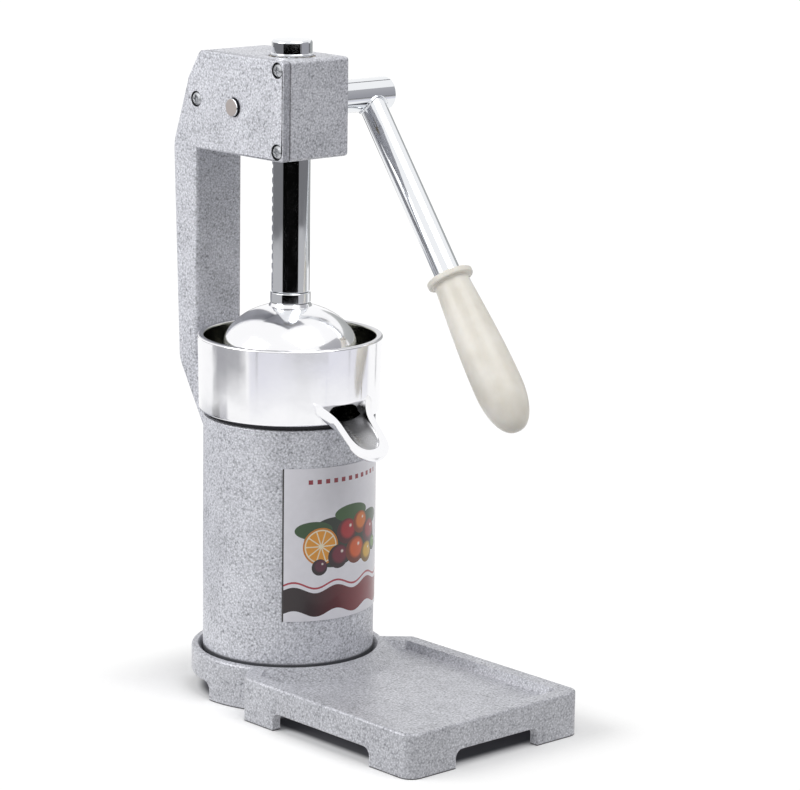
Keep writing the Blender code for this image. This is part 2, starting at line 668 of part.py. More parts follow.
def make_bowl():
    edge = BOWL_LIP_ROUND
    under = BOWL_SEAT + BOWL_UNDERCUT
    spigot = COLUMN_BORE - TOUCH_GAP
    spigot_bore = spigot - BOWL_SPIGOT_WALL
    spigot_bottom = BOWL_SEAT - BOWL_SPIGOT_DEPTH
    seat_radius = COLUMN_RADIUS - BOWL_SEAT_LEDGE
    ledge_bore = BOWL_BORE - STRAINER_LEDGE_WIDTH
    floor_round = STRAINER_LEDGE_WIDTH
    corner_centre = (BOWL_RADIUS - BOWL_TAPER - BOWL_CORNER_ROUND, under + BOWL_CORNER_ROUND)
    bowl = turned("bowl", [
        (0, BOWL_SEAT - TOUCH_GAP), (spigot_bore, BOWL_SEAT - TOUCH_GAP), (spigot_bore, spigot_bottom),
        (spigot, spigot_bottom), (spigot, BOWL_SEAT), (seat_radius, BOWL_SEAT), (seat_radius, under),
        *arc(corner_centre, BOWL_CORNER_ROUND, -pi / 2, 0, 4),
        (BOWL_RADIUS, BOWL_RIM - edge), (BOWL_RADIUS - edge * 0.4, BOWL_RIM - edge * 0.3),
        (BOWL_RADIUS - edge, BOWL_RIM), (0, BOWL_RIM),
    ], LARGE_SEGMENTS)
    join(bowl, trough("spout", 0, -BOWL_WALL * 1.1, 0))
    combine(bowl, turned("cavity", [
        (0, BOWL_FLOOR), (ledge_bore - floor_round, BOWL_FLOOR), (ledge_bore, BOWL_FLOOR + floor_round),
        (ledge_bore, STRAINER_LEDGE), (BOWL_BORE, STRAINER_LEDGE), (BOWL_BORE, BOWL_RIM - edge),
        (BOWL_BORE + edge * 0.3, BOWL_RIM - edge * 0.4), (BOWL_BORE + edge * 1.7, BOWL_RIM + edge * 0.4),
        (0, BOWL_RIM + edge * 0.4),
    ], LARGE_SEGMENTS))
    combine(bowl, trough("channel", SPOUT_WALL, -BOWL_WALL * 0.6, SPOUT_OVERCUT))

    # The outlet is an arch through the bowl's wall at floor level.
    half_width = SPOUT_HALF_WIDTH - SPOUT_WALL
    top = SPOUT_LIP + SPOUT_OVERCUT
    outlet = rounded([
        (-half_width, BOWL_FLOOR, floor_round), (half_width, BOWL_FLOOR, floor_round),
        (half_width, top), (-half_width, top),
    ], floor_round * 1.2)
    inside = ledge_bore - floor_round * 3
    arch = slab("outlet", outlet, -BOWL_RADIUS - SPOUT_OVERCUT, -inside, "Y")
    arch.rotation_euler.z = -SPOUT_TURN
    combine(bowl, arch)
    smooth(bowl)
    return bowl


def make_strainer():
    """A flat plate with radial slots, laid on the ledge inside the bowl."""
    bore = CONE_HUB_RADIUS + TOUCH_GAP
    strainer = turned("strainer", [
        (bore, STRAINER_BOTTOM), (STRAINER_RADIUS, STRAINER_BOTTOM),
        (STRAINER_RADIUS, STRAINER_TOP), (bore, STRAINER_TOP),
    ], LARGE_SEGMENTS)
    half_width = STRAINER_SLOT_WIDTH / 2
    first = CONE_RADIUS + STRAINER_LEDGE_WIDTH
    last = STRAINER_RADIUS - STRAINER_LEDGE_WIDTH * 2
    outline = [(first, -half_width), (last, -half_width), (last, half_width), (first, half_width)]
    for k in range(STRAINER_SLOTS):
        slot = slab("slot", outline, STRAINER_BOTTOM - STRAINER_THICKNESS, STRAINER_TOP + STRAINER_THICKNESS)
        slot.rotation_euler = (0, 0, 2 * pi * (k + 0.5) / STRAINER_SLOTS)
        combine(strainer, slot)
    smooth(strainer)
    return strainer


def make_cone():
    """A ribbed pressing cone whose hub stands on the bowl's floor through the strainer."""
    foot = BOWL_FLOOR + TOUCH_GAP
    base = STRAINER_TOP + TOUCH_GAP
    segments = CONE_RIBS * 4
    steps = 6
    rows = [
        (CONE_HUB_RADIUS, foot, 0), (CONE_HUB_RADIUS, base, 0), (CONE_RADIUS, base, 0),
        (CONE_RADIUS, base + CONE_SKIRT, 0),
    ]
    for i in range(steps + 1):
        rise = i / steps
        radius = CONE_RADIUS * (0.9 - 0.78 * rise ** 1.4)
        rib = CONE_RIB_DEPTH * (1 - rise * 0.6)
        rows.append((radius, base + CONE_SKIRT + (CONE_HEIGHT - CONE_SKIRT) * rise, rib))
    layers = []
    for radius, height, rib in rows:
        angles = [2 * pi * k / segments for k in range(segments)]
        ribbed = [(radius * (1 + rib * cos(CONE_RIBS * a)), a) for a in angles]
        layers.append(([(r * cos(a), r * sin(a)) for r, a in ribbed], height))
    cone = stacked("reamer_cone", layers)
    smooth(cone, radians(50))
    return cone


# Press cup: a thin polished dome on the ram's end, locked by a collar and a screw from inside

def dome(radius, height, low_angle, high_angle, steps):
    """Points up the side of a half spheroid above the cup's equator."""
    angles = [low_angle + (high_angle - low_angle) * i / steps for i in range(steps + 1)]
    return [(radius * cos(a), CUP_EQUATOR + height * sin(a)) for a in angles]


def make_press_cup():
    bore = RAM_SPIGOT_RADIUS + TOUCH_GAP
    neck = COLLAR_RADIUS
    inner_radius = CUP_RADIUS - CUP_WALL
    bottom = CUP_EQUATOR - CUP_SKIRT
    outside = dome(CUP_RADIUS, CUP_DOME_HEIGHT, 0, acos(neck * 1.08 / CUP_RADIUS), 7)
    inside = dome(inner_radius, CUP_DOME_HEIGHT - CUP_WALL, acos(neck / inner_radius), 0, 6)
    lip = CUP_WALL * 0.3
    cup = turned("press_cup", [
        (bore, CUP_BOSS_BOTTOM), (bore, CUP_BOSS_TOP), (neck, CUP_BOSS_TOP),
        *reversed(outside), (CUP_RADIUS, bottom + lip), (CUP_RADIUS - lip, bottom),
        (inner_radius + lip, bottom), (inner_radius, bottom + lip), *reversed(inside),
        (neck, CUP_BOSS_BOTTOM),
    ], LARGE_SEGMENTS)
    set_origin(cup, (0, 0, RAM_BOTTOM))
    smooth(cup)

    collar = turned("cup_collar", [
        (bore, COLLAR_BOTTOM), (COLLAR_RADIUS, COLLAR_BOTTOM), (COLLAR_RADIUS, COLLAR_TOP - RAM_EDGE),
        (COLLAR_RADIUS - RAM_EDGE, COLLAR_TOP), (bore, COLLAR_TOP),
    ], MEDIUM_SEGMENTS)
    set_origin(collar, (0, 0, RAM_BOTTOM))
    smooth(collar)

    head = CUP_SCREW_HEAD_RADIUS
    head_top = CUP_BOSS_BOTTOM - TOUCH_GAP
    head_low = head_top - CUP_SCREW_HEAD_HEIGHT
    chamfer = CUP_SCREW_HEAD_HEIGHT * 0.2
    shank_top = COLLAR_BOTTOM + COLLAR_HEIGHT * 0.6
    screw = turned("cup_screw", [
        (0, head_low), (head - chamfer, head_low), (head, head_low + chamfer), (head, head_top),
        (CUP_SCREW_RADIUS, head_top), (CUP_SCREW_RADIUS, shank_top), (0, shank_top),
    ], SMALL_SEGMENTS)
    key = circle(CUP_SCREW_RADIUS * 0.85, 6)
    combine(screw, slab("socket", key, head_low - chamfer, head_low + CUP_SCREW_HEAD_HEIGHT * 0.6))
    set_origin(screw, (0, 0, RAM_BOTTOM))
    smooth(screw)
    return cup, collar, screw


# Ram: a chromed bar with a rack cut into its rear side

def make_ram():
    spigot_bottom = CUP_BOSS_BOTTOM + TOUCH_GAP
    ram = turned("ram", [
        (0, spigot_bottom), (RAM_SPIGOT_RADIUS, spigot_bottom), (RAM_SPIGOT_RADIUS, RAM_BOTTOM),
        (RAM_RADIUS - RAM_EDGE, RAM_BOTTOM), (RAM_RADIUS, RAM_BOTTOM + RAM_EDGE), (RAM_RADIUS, RAM_TOP),
        (0, RAM_TOP),
    ], MEDIUM_SEGMENTS)
    screw_bore = CUP_SCREW_RADIUS + TOUCH_GAP
    drill(ram, screw_bore, (0, 0, spigot_bottom - RAM_SPIGOT_RADIUS), (0, 0, COLLAR_TOP))
    stud_bore = CAP_STUD_RADIUS + TOUCH_GAP
    stud_hole_bottom = CAP_BOTTOM - CAP_STUD_LENGTH - CAP_STUD_RADIUS * 0.5
    drill(ram, stud_bore, (0, 0, stud_hole_bottom), (0, 0, HEAD_TOP + CAP_HEIGHT))

    # The rack covers the lift and the pinion's reach.
    reach = TIP_RADIUS * 0.75
    low = SHAFT_Z - RAM_LIFT - reach - RACK_PITCH
    high = min(SHAFT_Z + reach, stud_hole_bottom - RACK_PITCH / 2)
    tip = RACK_PITCH_OFFSET + MODULE
    root = RACK_PITCH_OFFSET - 1.25 * MODULE
    beyond = RAM_RADIUS * 1.2
    flat = [(tip, low), (beyond, low - MODULE), (beyond, high + MODULE), (tip, high)]
    combine(ram, slab("flat", flat, -beyond, beyond, "X"))

    # One tooth gap lies level with the shaft, where a pinion tooth points straight at the ram.
    half_gap = RACK_PITCH / 4 + TOOTH_PLAY / 2
    wide = half_gap + (beyond - RACK_PITCH_OFFSET) * tan(PRESSURE_ANGLE)
    narrow = half_gap - 1.25 * MODULE * tan(PRESSURE_ANGLE)
    first = -int((SHAFT_Z - low - half_gap) / RACK_PITCH)
    last = int((high - SHAFT_Z - half_gap) / RACK_PITCH)
    for k in range(first, last + 1):
        level = SHAFT_Z + k * RACK_PITCH
        gap = [(root, level - narrow), (beyond, level - wide), (beyond, level + wide), (root, level + narrow)]
        combine(ram, slab("tooth_gap", gap, -beyond, beyond, "X"))
    set_origin(ram, (0, 0, RAM_BOTTOM))
    smooth(ram)
    return ram


def make_ram_cap():
    """A round cap, wider than the ram, that stops it at the bottom of its stroke."""
    side = RAM_RADIUS + CAP_STEP
    foot_side = RAM_RADIUS + CAP_FOOT_STEP
    foot_top = CAP_BOTTOM + CAP_FOOT_THICKNESS
    top = CAP_BOTTOM + CAP_HEIGHT
    soft = CAP_EDGE * 0.3
    stud_bottom = CAP_BOTTOM - CAP_STUD_LENGTH
    cap = turned("ram_cap", [
        (0, stud_bottom), (CAP_STUD_RADIUS, stud_bottom), (CAP_STUD_RADIUS, CAP_BOTTOM),
        (foot_side, CAP_BOTTOM), (foot_side, foot_top), (side, foot_top + soft),
        (side, top - CAP_EDGE), (side - soft, top - soft), (side - CAP_EDGE, top), (0, top),
    ], MEDIUM_SEGMENTS)
    set_origin(cap, (0, 0, RAM_BOTTOM))
    smooth(cap)
    return cap


# Frame casting: the gearbox head, the arm behind it and the saddle on the column

def head_outline():
    """Side view of the head: a rectangle whose upper rear corner is cut off."""
    chamfer_round = HEAD_CHAMFER_Y / 3
    return rounded([
        (HEAD_FRONT, HEAD_BOTTOM), (HEAD_REAR, HEAD_BOTTOM),
        (HEAD_REAR, HEAD_TOP - HEAD_CHAMFER_Z, chamfer_round),
        (HEAD_REAR - HEAD_CHAMFER_Y, HEAD_TOP, chamfer_round), (HEAD_FRONT, HEAD_TOP),
    ], HEAD_EDGE_ROUND * 1.7, 3)


def arm_outline():
    """Side view of the arm: straight down behind the bowl, then forward to the column."""
    inside_head = HEAD_REAR - ARM_HEAD_OVERLAP
    head_low = HEAD_BOTTOM + ARM_EDGE_ROUND
    head_high = HEAD_TOP - ARM_TOP_DROP
    inside_column = COLUMN_RADIUS - COLUMN_WALL * 2
    foot_top = COLUMN_TOP - SADDLE_TOP_GAP
    return rounded([
        (inside_column, SADDLE_BOTTOM, 0), (SADDLE_REAR, SADDLE_BOTTOM, 0.004),
        (SADDLE_REAR, COLUMN_TOP - ARM_BEND_BELOW, 0.008),
        (ARM_REAR - ARM_TAPER, COLUMN_TOP + ARM_BEND_ABOVE, 0.02), (ARM_REAR, HEAD_BOTTOM, 0.03),
        (HEAD_REAR + ARM_SHOULDER_REACH, HEAD_TOP - ARM_SHOULDER_DROP, 0.012),
        (HEAD_REAR + ARM_TOP_REACH, head_high, 0.003),
        (inside_head, head_high, 0), (inside_head, head_low, 0),
        (ARM_FRONT, head_low, 0), (ARM_FRONT, COLUMN_TOP + ARM_BEND_ABOVE, 0.016),
        (COLUMN_RADIUS + SADDLE_TOP_GAP, foot_top, 0.004), (inside_column, foot_top, 0),
    ], 0, 5)


def make_frame():
    frame = slab("frame_casting", head_outline(), HEAD_LEFT, HEAD_HALF_WIDTH, "X", HEAD_EDGE_ROUND)
    join(frame, slab("arm", arm_outline(), -ARM_HALF_WIDTH, ARM_HALF_WIDTH, "X", ARM_EDGE_ROUND))
    drill(frame, COLUMN_RADIUS + TOUCH_GAP, (0, 0, 0), (0, 0, BOWL_SEAT), LARGE_SEGMENTS)

    # The gear cavity opens to the left, under the cover.
    cavity = rounded([
        (CAVITY_FRONT, CAVITY_BOTTOM), (CAVITY_REAR, CAVITY_BOTTOM),
        (CAVITY_REAR, CAVITY_TOP), (CAVITY_FRONT, CAVITY_TOP),
    ], CAVITY_CORNER_ROUND, 4)
    beyond = COVER_THICKNESS
    combine(frame, slab("cavity", cavity, HEAD_LEFT - beyond, CAVITY_RIGHT, "X"))
    drill(frame, RAM_BUSH_SEAT, (0, 0, HEAD_BOTTOM - beyond), (0, 0, HEAD_TOP + beyond), MEDIUM_SEGMENTS)
    seat_start = (CAVITY_RIGHT - beyond, SHAFT_Y, SHAFT_Z)
    seat_end = (HEAD_HALF_WIDTH + beyond, SHAFT_Y, SHAFT_Z)
    drill(frame, SHAFT_BUSH_SEAT, seat_start, seat_end, MEDIUM_SEGMENTS)

    depth = COVER_SCREW_LENGTH - COVER_THICKNESS + COVER_SCREW_RADIUS * 0.5
    for y, z in cover_screw_places().values():
        drill(frame, COVER_SCREW_RADIUS + TOUCH_GAP, (HEAD_LEFT - beyond, y, z), (HEAD_LEFT + depth, y, z))
    for height in arm_bolt_heights().values():
        start = (0, COLUMN_RADIUS - COLUMN_WALL, height)
        drill(frame, ARM_BOLT_RADIUS + BOLT_HOLE_GAP, start, (0, SADDLE_REAR + COLUMN_WALL, height))
    set_origin(frame, (0, HEAD_REAR, HEAD_BOTTOM))
    smooth(frame)
    return frame


def cover_screw_places():
    """Side-view centres of the three cover screws."""
    return {
        "front_top": (HEAD_FRONT + COVER_SCREW_INSET, HEAD_TOP - COVER_SCREW_INSET),
        "front_bottom": (HEAD_FRONT + COVER_SCREW_INSET, HEAD_BOTTOM + COVER_SCREW_INSET),
        "rear": (HEAD_REAR - REAR_SCREW_INSET, (HEAD_TOP + HEAD_BOTTOM) / 2),
    }


def make_cover():
    """The plate that closes the gear cavity and carries the shaft's thin end."""
    cover = slab("gearbox_cover", head_outline(), COVER_LEFT, COVER_RIGHT, "X", COVER_EDGE_ROUND)
    outside = COVER_LEFT - COVER_THICKNESS
    inside = COVER_RIGHT + COVER_THICKNESS
    bore = JOURNAL_RADIUS + RUNNING_GAP
    drill(cover, bore, (outside, SHAFT_Y, SHAFT_Z), (inside, SHAFT_Y, SHAFT_Z), MEDIUM_SEGMENTS)
    recess = COVER_LEFT + COVER_SCREW_SINK
    for y, z in cover_screw_places().values():
        drill(cover, COVER_SCREW_RADIUS + BOLT_HOLE_GAP, (outside, y, z), (inside, y, z))
        drill(cover, COVER_SCREW_HEAD_RADIUS + COVER_SCREW_RECESS_GAP, (outside, y, z), (recess, y, z))
    set_origin(cover, (COVER_LEFT, SHAFT_Y, SHAFT_Z))
    smooth(cover)
    return cover


def make_cover_screws():
    """Pan-head screws with a cross recess, sunk into the cover."""
    seat = COVER_LEFT + COVER_SCREW_SINK - TOUCH_GAP
    radius = COVER_SCREW_RADIUS
    head = COVER_SCREW_HEAD_RADIUS
    height = COVER_SCREW_HEAD_HEIGHT
    shank = COVER_SCREW_LENGTH - height
    screws = []
    for place, (y, z) in cover_screw_places().items():
        screw = turned(f"cover_screw_{place}", [
            (0, -height), (head * 0.7, -height), (head, -height * 0.55), (head, 0), (radius, 0),
            (radius, shank), (0, shank),
        ], SMALL_SEGMENTS)
        long = head * 0.55
        short = head * 0.12
        for u, v in ((long, short), (short, long)):
            outline = [(-u, -v), (u, -v), (u, v), (-u, v)]
            combine(screw, slab("cross", outline, -height * 1.5, -height * 0.4))
        point_along(screw, (seat, y, z), (1, 0, 0))
        smooth(screw)
        screws.append(screw)
    return screws


def bush(name, bore, wall, length, location, direction):
    """A plain sleeve with chamfered ends."""
    edge = wall * 0.25
    sleeve = turned(name, [
        (bore, 0), (bore + wall - edge, 0), (bore + wall, edge),
        (bore + wall, length - edge), (bore + wall - edge, length), (bore, length),
    ], MEDIUM_SEGMENTS, location, direction)
    smooth(sleeve)
    return sleeve


def make_bushes():
    ram_bore = RAM_RADIUS + RUNNING_GAP
    shaft_bore = SHAFT_RADIUS + RUNNING_GAP
    shaft_place = (CAVITY_RIGHT, SHAFT_Y, SHAFT_Z)
    lower_place = (0, 0, HEAD_BOTTOM + TOUCH_GAP)
    return [
        bush("lower_guide_bush", ram_bore, BUSH_WALL, HEAD_FLOOR - TOUCH_GAP, lower_place, (0, 0, 1)),
        bush("upper_guide_bush", ram_bore, BUSH_WALL, HEAD_ROOF - TOUCH_GAP, (0, 0, CAVITY_TOP), (0, 0, 1)),
        bush("shaft_bush", shaft_bore, SHAFT_BUSH_WALL, HEAD_RIGHT_WALL, shaft_place, (1, 0, 0)),
    ]


def make_arm_bolts():
    """Two bolts from behind, and the curved plate inside the column that they screw into."""
    seat = SADDLE_REAR + TOUCH_GAP
    plate_outer = COLUMN_BORE - TOUCH_GAP
    plate_inner = plate_outer - BACKING_PLATE_THICKNESS
    shank = seat - plate_inner + ARM_BOLT_RADIUS * 0.5
    heights = arm_bolt_heights()
    bolts = [
        hex_bolt(f"arm_bolt_{place}", ARM_BOLT_RADIUS, shank, (0, seat, height), (0, -1, 0))
        for place, height in heights.items()
    ]
    low = heights["lower"] - BACKING_PLATE_MARGIN
    high = heights["upper"] + BACKING_PLATE_MARGIN
    half = BACKING_PLATE_HALF_WIDTH
    plate = rod("arm_backing_plate", plate_outer, (0, 0, low), (0, 0, high), LARGE_SEGMENTS)
    keep = [(-half, plate_inner), (half, plate_inner), (half, COLUMN_RADIUS), (-half, COLUMN_RADIUS)]
    combine(plate, slab("keep", keep, 0, high * 2), "INTERSECT")
    for height in heights.values():
        start = (0, plate_inner - BACKING_PLATE_THICKNESS, height)
        drill(plate, ARM_BOLT_RADIUS + TOUCH_GAP, start, (0, COLUMN_RADIUS, height))
    set_origin(plate, (0, plate_inner, low))
    smooth(plate)
    return [*bolts, plate]


# Crank: the stepped cross shaft with its pinion, and the lever welded to it

def pinion_outline():
    """An involute gear, seen along +X; one tooth points to -Y, straight at the rack."""
    base_radius = PITCH_RADIUS * cos(PRESSURE_ANGLE)
    involute_at_pitch = tan(PRESSURE_ANGLE) - PRESSURE_ANGLE
    half_tooth = pi / (2 * PINION_TEETH) - TOOTH_PLAY / (2 * PITCH_RADIUS)
    flank = []
    steps = 2
    for i in range(steps + 1):
        radius = base_radius + (TIP_RADIUS - base_radius) * i / steps
        pressure = acos(min(1.0, base_radius / radius))
        flank.append((radius, half_tooth + involute_at_pitch - (tan(pressure) - pressure)))
    half_root = flank[0][1] * 1.03
    tooth = [(ROOT_RADIUS, -half_root)]
    tooth += [(radius, -half) for radius, half in flank]
    tooth += [(radius, half) for radius, half in reversed(flank)]
    tooth += [(ROOT_RADIUS, half_root)]
    points = []
    for k in range(PINION_TEETH):
        middle = pi + 2 * pi * k / PINION_TEETH
        points += [(radius * cos(middle + a), radius * sin(middle + a)) for radius, a in tooth]
    return [(SHAFT_Y + u, SHAFT_Z + v) for u, v in points]


def make_pinion():
    half = PINION_WIDTH / 2
    left = Vector((HUB_LEFT, SHAFT_Y, SHAFT_Z))
    right = Vector((HUB_RIGHT, SHAFT_Y, SHAFT_Z))
    beyond = Vector((PINION_WIDTH, 0, 0))
    pinion = slab("pinion", pinion_outline(), -half, half, "X")
    join(pinion, rod("hub", PINION_HUB_RADIUS, left, right, MEDIUM_SEGMENTS))
    drill(pinion, SHAFT_SEAT_RADIUS + TOUCH_GAP, left - beyond, right + beyond, MEDIUM_SEGMENTS)
    drill_pin_hole(pinion)
    set_origin(pinion, SHAFT_AXIS)
    smooth(pinion, radians(20))
    return pinion


def drill_pin_hole(piece):
    """The cross hole of the pin that ties the pinion to the shaft."""
    reach = PINION_HUB_RADIUS * 1.3
    radius = PINION_PIN_RADIUS + TOUCH_GAP
    drill(piece, radius, (PIN_X, SHAFT_Y, SHAFT_Z - reach), (PIN_X, SHAFT_Y, SHAFT_Z + reach))


def make_shaft():
    left = COVER_LEFT - JOURNAL_PROUD
    seat_start = COVER_RIGHT + TOUCH_GAP
    shaft = turned("crank_shaft", [
        (0, left), (JOURNAL_RADIUS - SHAFT_EDGE, left), (JOURNAL_RADIUS, left + SHAFT_EDGE),
        (JOURNAL_RADIUS, seat_start), (SHAFT_SEAT_RADIUS, seat_start), (SHAFT_SEAT_RADIUS, CAVITY_RIGHT),
        (SHAFT_RADIUS, CAVITY_RIGHT), (SHAFT_RADIUS, SHAFT_END - SHAFT_EDGE),
        (SHAFT_RADIUS - SHAFT_EDGE, SHAFT_END), (0, SHAFT_END),
    ], MEDIUM_SEGMENTS, (0, SHAFT_Y, SHAFT_Z), (1, 0, 0))
    drill_pin_hole(shaft)
    smooth(shaft)

    middle = Vector((PIN_X, SHAFT_Y, SHAFT_Z))
    half_pin = Vector((0, 0, PINION_HUB_RADIUS - TOUCH_GAP))
    pin = rod("pinion_pin", PINION_PIN_RADIUS, middle - half_pin, middle + half_pin)
    smooth(pin)
    return shaft, pin


def make_lever():
    pivot = Vector((LEVER_X, SHAFT_Y, SHAFT_Z))
    outer = LEVER_TUBE_RADIUS
    inner = outer - LEVER_TUBE_WALL
    grip_start = LEVER_LENGTH - GRIP_LENGTH
    bore_end = grip_start + GRIP_BORE_DEPTH
    tube_start = SHAFT_RADIUS * 0.4
    tube_end = bore_end - LEVER_TUBE_WALL
    tube = turned("lever_tube", [
        (inner, tube_start), (outer, tube_start), (outer, tube_end), (inner, tube_end),
    ], MEDIUM_SEGMENTS, pivot, LEVER_DIRECTION)
    across = Vector((LEVER_TUBE_RADIUS * 1.5, 0, 0))
    drill(tube, SHAFT_RADIUS + TOUCH_GAP, pivot - across, pivot + across, MEDIUM_SEGMENTS)
    smooth(tube)

    bore = outer + TOUCH_GAP
    flange = GRIP_NECK_RADIUS + GRIP_FLANGE_STEP
    thickness = GRIP_FLANGE_THICKNESS
    soft = thickness * 0.3
    neck_start = grip_start + thickness * 1.6
    body = LEVER_LENGTH - neck_start
    outside = [
        (GRIP_NECK_RADIUS + soft, grip_start + thickness + soft),
        (GRIP_NECK_RADIUS, neck_start + soft),
    ]
    swell_share = 0.7
    for share in (0.15, 0.3, 0.45, 0.58, swell_share):
        rise = sin(pi / 2 * share / swell_share) ** 1.15
        outside.append((GRIP_NECK_RADIUS + GRIP_SWELL * rise, neck_start + body * share))
    round_start = neck_start + body * swell_share
    widest = GRIP_NECK_RADIUS + GRIP_SWELL
    for degrees in (20, 38, 54, 68, 80):
        angle = radians(degrees)
        outside.append((widest * cos(angle) ** 0.85, round_start + (LEVER_LENGTH - round_start) * sin(angle)))
    grip = turned("grip", [
        (0, bore_end), (bore, bore_end), (bore, grip_start), (flange - soft, grip_start),
        (flange, grip_start + soft), (flange, grip_start + thickness - soft),
        (flange - soft, grip_start + thickness),
        *outside, (0, LEVER_LENGTH),
    ], MEDIUM_SEGMENTS, pivot, LEVER_DIRECTION)
    smooth(grip)
    return tube, grip


# Assembly

def empty(name, location):
    """An empty that carries a group of pieces."""
    carrier = bpy.data.objects.new(name, None)
    carrier.location = location
    bpy.context.scene.collection.objects.link(carrier)
    return carrier


def carry(carrier, pieces):
    """Parents pieces to a carrier where they stand."""
    bpy.context.view_layer.update()
    for piece in pieces:
        piece.parent = carrier
        piece.matrix_parent_inverse = carrier.matrix_world.inverted()


def paint(material, pieces):
    """Gives pieces their material and hands them on."""
    for piece in pieces:
        piece.data.materials.append(material)
    return pieces


def centre_on_origin(carrier, pieces):
    """Moves the object so that the middle of its bounding box stands over the origin."""
    bpy.context.view_layer.update()
    corners = [piece.matrix_world @ vertex.co for piece in pieces for vertex in piece.data.vertices]
    middle = [(min(c[axis] for c in corners) + max(c[axis] for c in corners)) / 2 for axis in (0, 1)]
    carrier.location = (-middle[0], -middle[1], 0)
    bpy.context.view_layer.update()


def main():
    for old in list(bpy.data.objects):
        bpy.data.objects.remove(old, do_unlink=True)

    hammertone = finish("hammertone_paint", (0.46, 0.47, 0.49), 0.45, 0.3)
    chrome = finish("chrome", (0.72, 0.73, 0.75), 0.08, 1.0)
    polished = finish("polished_aluminium", (0.80, 0.81, 0.83), 0.15, 1.0)
    steel = finish("zinc_steel", (0.50, 0.50, 0.52), 0.35, 1.0)
    bronze = finish("bronze", (0.55, 0.36, 0.18), 0.4, 1.0)
    ivory = finish("ivory_plastic", (0.78, 0.75, 0.68), 0.35, 0.0)
    white = finish("label_vinyl", (0.85, 0.85, 0.83), 0.4, 0.0)

    column, foot_plate = make_column()
    cup, collar, cup_screw = make_press_cup()
    shaft, pin = make_shaft()
    tube, grip = make_lever()
    fixed = [
        *paint(hammertone, [make_base(), column, make_frame(), make_cover()]),
        *paint(steel, [foot_plate, make_strainer()]),
        *paint(steel, [*make_base_bolts(), *make_arm_bolts(), *make_cover_screws()]),
        *paint(bronze, make_bushes()),
        *paint(polished, [make_bowl(), make_cone()]),
        *paint(white, [make_label()]),
    ]
    sliding = [
        *paint(chrome, [make_ram(), make_ram_cap(), collar]),
        *paint(polished, [cup]),
        *paint(steel, [cup_screw]),
    ]
    turning = [
        *paint(chrome, [shaft, tube]),
        *paint(steel, [make_pinion(), pin]),
        *paint(ivory, [grip]),
    ]

    juicer = empty("juicer", (0, 0, 0))
    ram_slide = empty("ram_slide", (0, 0, RAM_BOTTOM))
    crank_pivot = empty("crank_pivot", SHAFT_AXIS)
    carry(juicer, [*fixed, ram_slide, crank_pivot])
    carry(ram_slide, sliding)
    carry(crank_pivot, turning)
    centre_on_origin(juicer, [*fixed, *sliding, *turning])


main()
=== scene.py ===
from functools import partial, reduce
from math import pi, radians, sin, tan

import bmesh
import bpy
import numpy as np
from mathutils import Matrix, Vector


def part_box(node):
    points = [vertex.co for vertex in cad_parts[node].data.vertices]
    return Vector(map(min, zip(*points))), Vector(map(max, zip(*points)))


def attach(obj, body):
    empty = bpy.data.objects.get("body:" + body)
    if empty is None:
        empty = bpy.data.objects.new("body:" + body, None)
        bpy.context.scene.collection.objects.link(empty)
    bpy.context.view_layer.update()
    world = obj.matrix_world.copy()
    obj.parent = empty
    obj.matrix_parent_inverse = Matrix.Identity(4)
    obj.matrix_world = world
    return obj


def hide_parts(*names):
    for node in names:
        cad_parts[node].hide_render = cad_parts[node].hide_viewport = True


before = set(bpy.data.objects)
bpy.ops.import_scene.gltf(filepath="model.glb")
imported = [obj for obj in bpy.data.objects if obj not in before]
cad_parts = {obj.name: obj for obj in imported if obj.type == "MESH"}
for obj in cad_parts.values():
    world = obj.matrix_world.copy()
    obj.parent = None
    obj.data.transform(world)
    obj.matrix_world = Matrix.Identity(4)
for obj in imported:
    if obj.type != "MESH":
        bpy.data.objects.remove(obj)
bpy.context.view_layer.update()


# Base casting: socket ring and drip tray on cast feet
# Aluminium sand casting, ground on top and sprayed all over with silver hammer enamel. The enamel
# pulls into small shallow cells as it dries, pale in the middle and darker in the creases.

mm = 0.001
first_menu = {"Math": "operation", "VectorMath": "operation", "MapRange": "interpolation_type",
              "Mix": "data_type", "TexVoronoi": "feature", "TexNoise": "noise_dimensions",
              "VectorRotate": "rotation_type"}


def linear(colour):
    """An sRGB hex colour as linear red, green, blue and alpha."""
    channels = [int(colour[i:i + 2], 16) / 255 for i in (1, 3, 5)]
    return [c / 12.92 if c <= 0.04045 else ((c + 0.055) / 1.055) ** 2.4 for c in channels] + [1.0]


def per_mm(size_mm):
    """Texture scale at which one cell or wave of a pattern on Object coordinates is this many mm wide."""
    return 1 / (size_mm * mm)


def fill(made, *values, **inputs):
    """Sets or links a node's sockets: values go in order, inputs by name with _ for a blank. Each is a
    number, a hex colour, an output, or a node, whose first output in use is linked."""
    sockets = [socket for socket in made.inputs if socket.enabled]
    named = {socket.name.replace(" ", "_"): socket for socket in reversed(sockets)}
    for socket, value in [*zip(sockets, values), *((named[name], value) for name, value in inputs.items())]:
        if isinstance(value, bpy.types.Node):
            value = next(output for output in value.outputs if output.enabled)
        if isinstance(value, bpy.types.NodeSocket):
            made.id_data.links.new(value, socket)
        else:
            socket.default_value = linear(value) if isinstance(value, str) else value
    return made


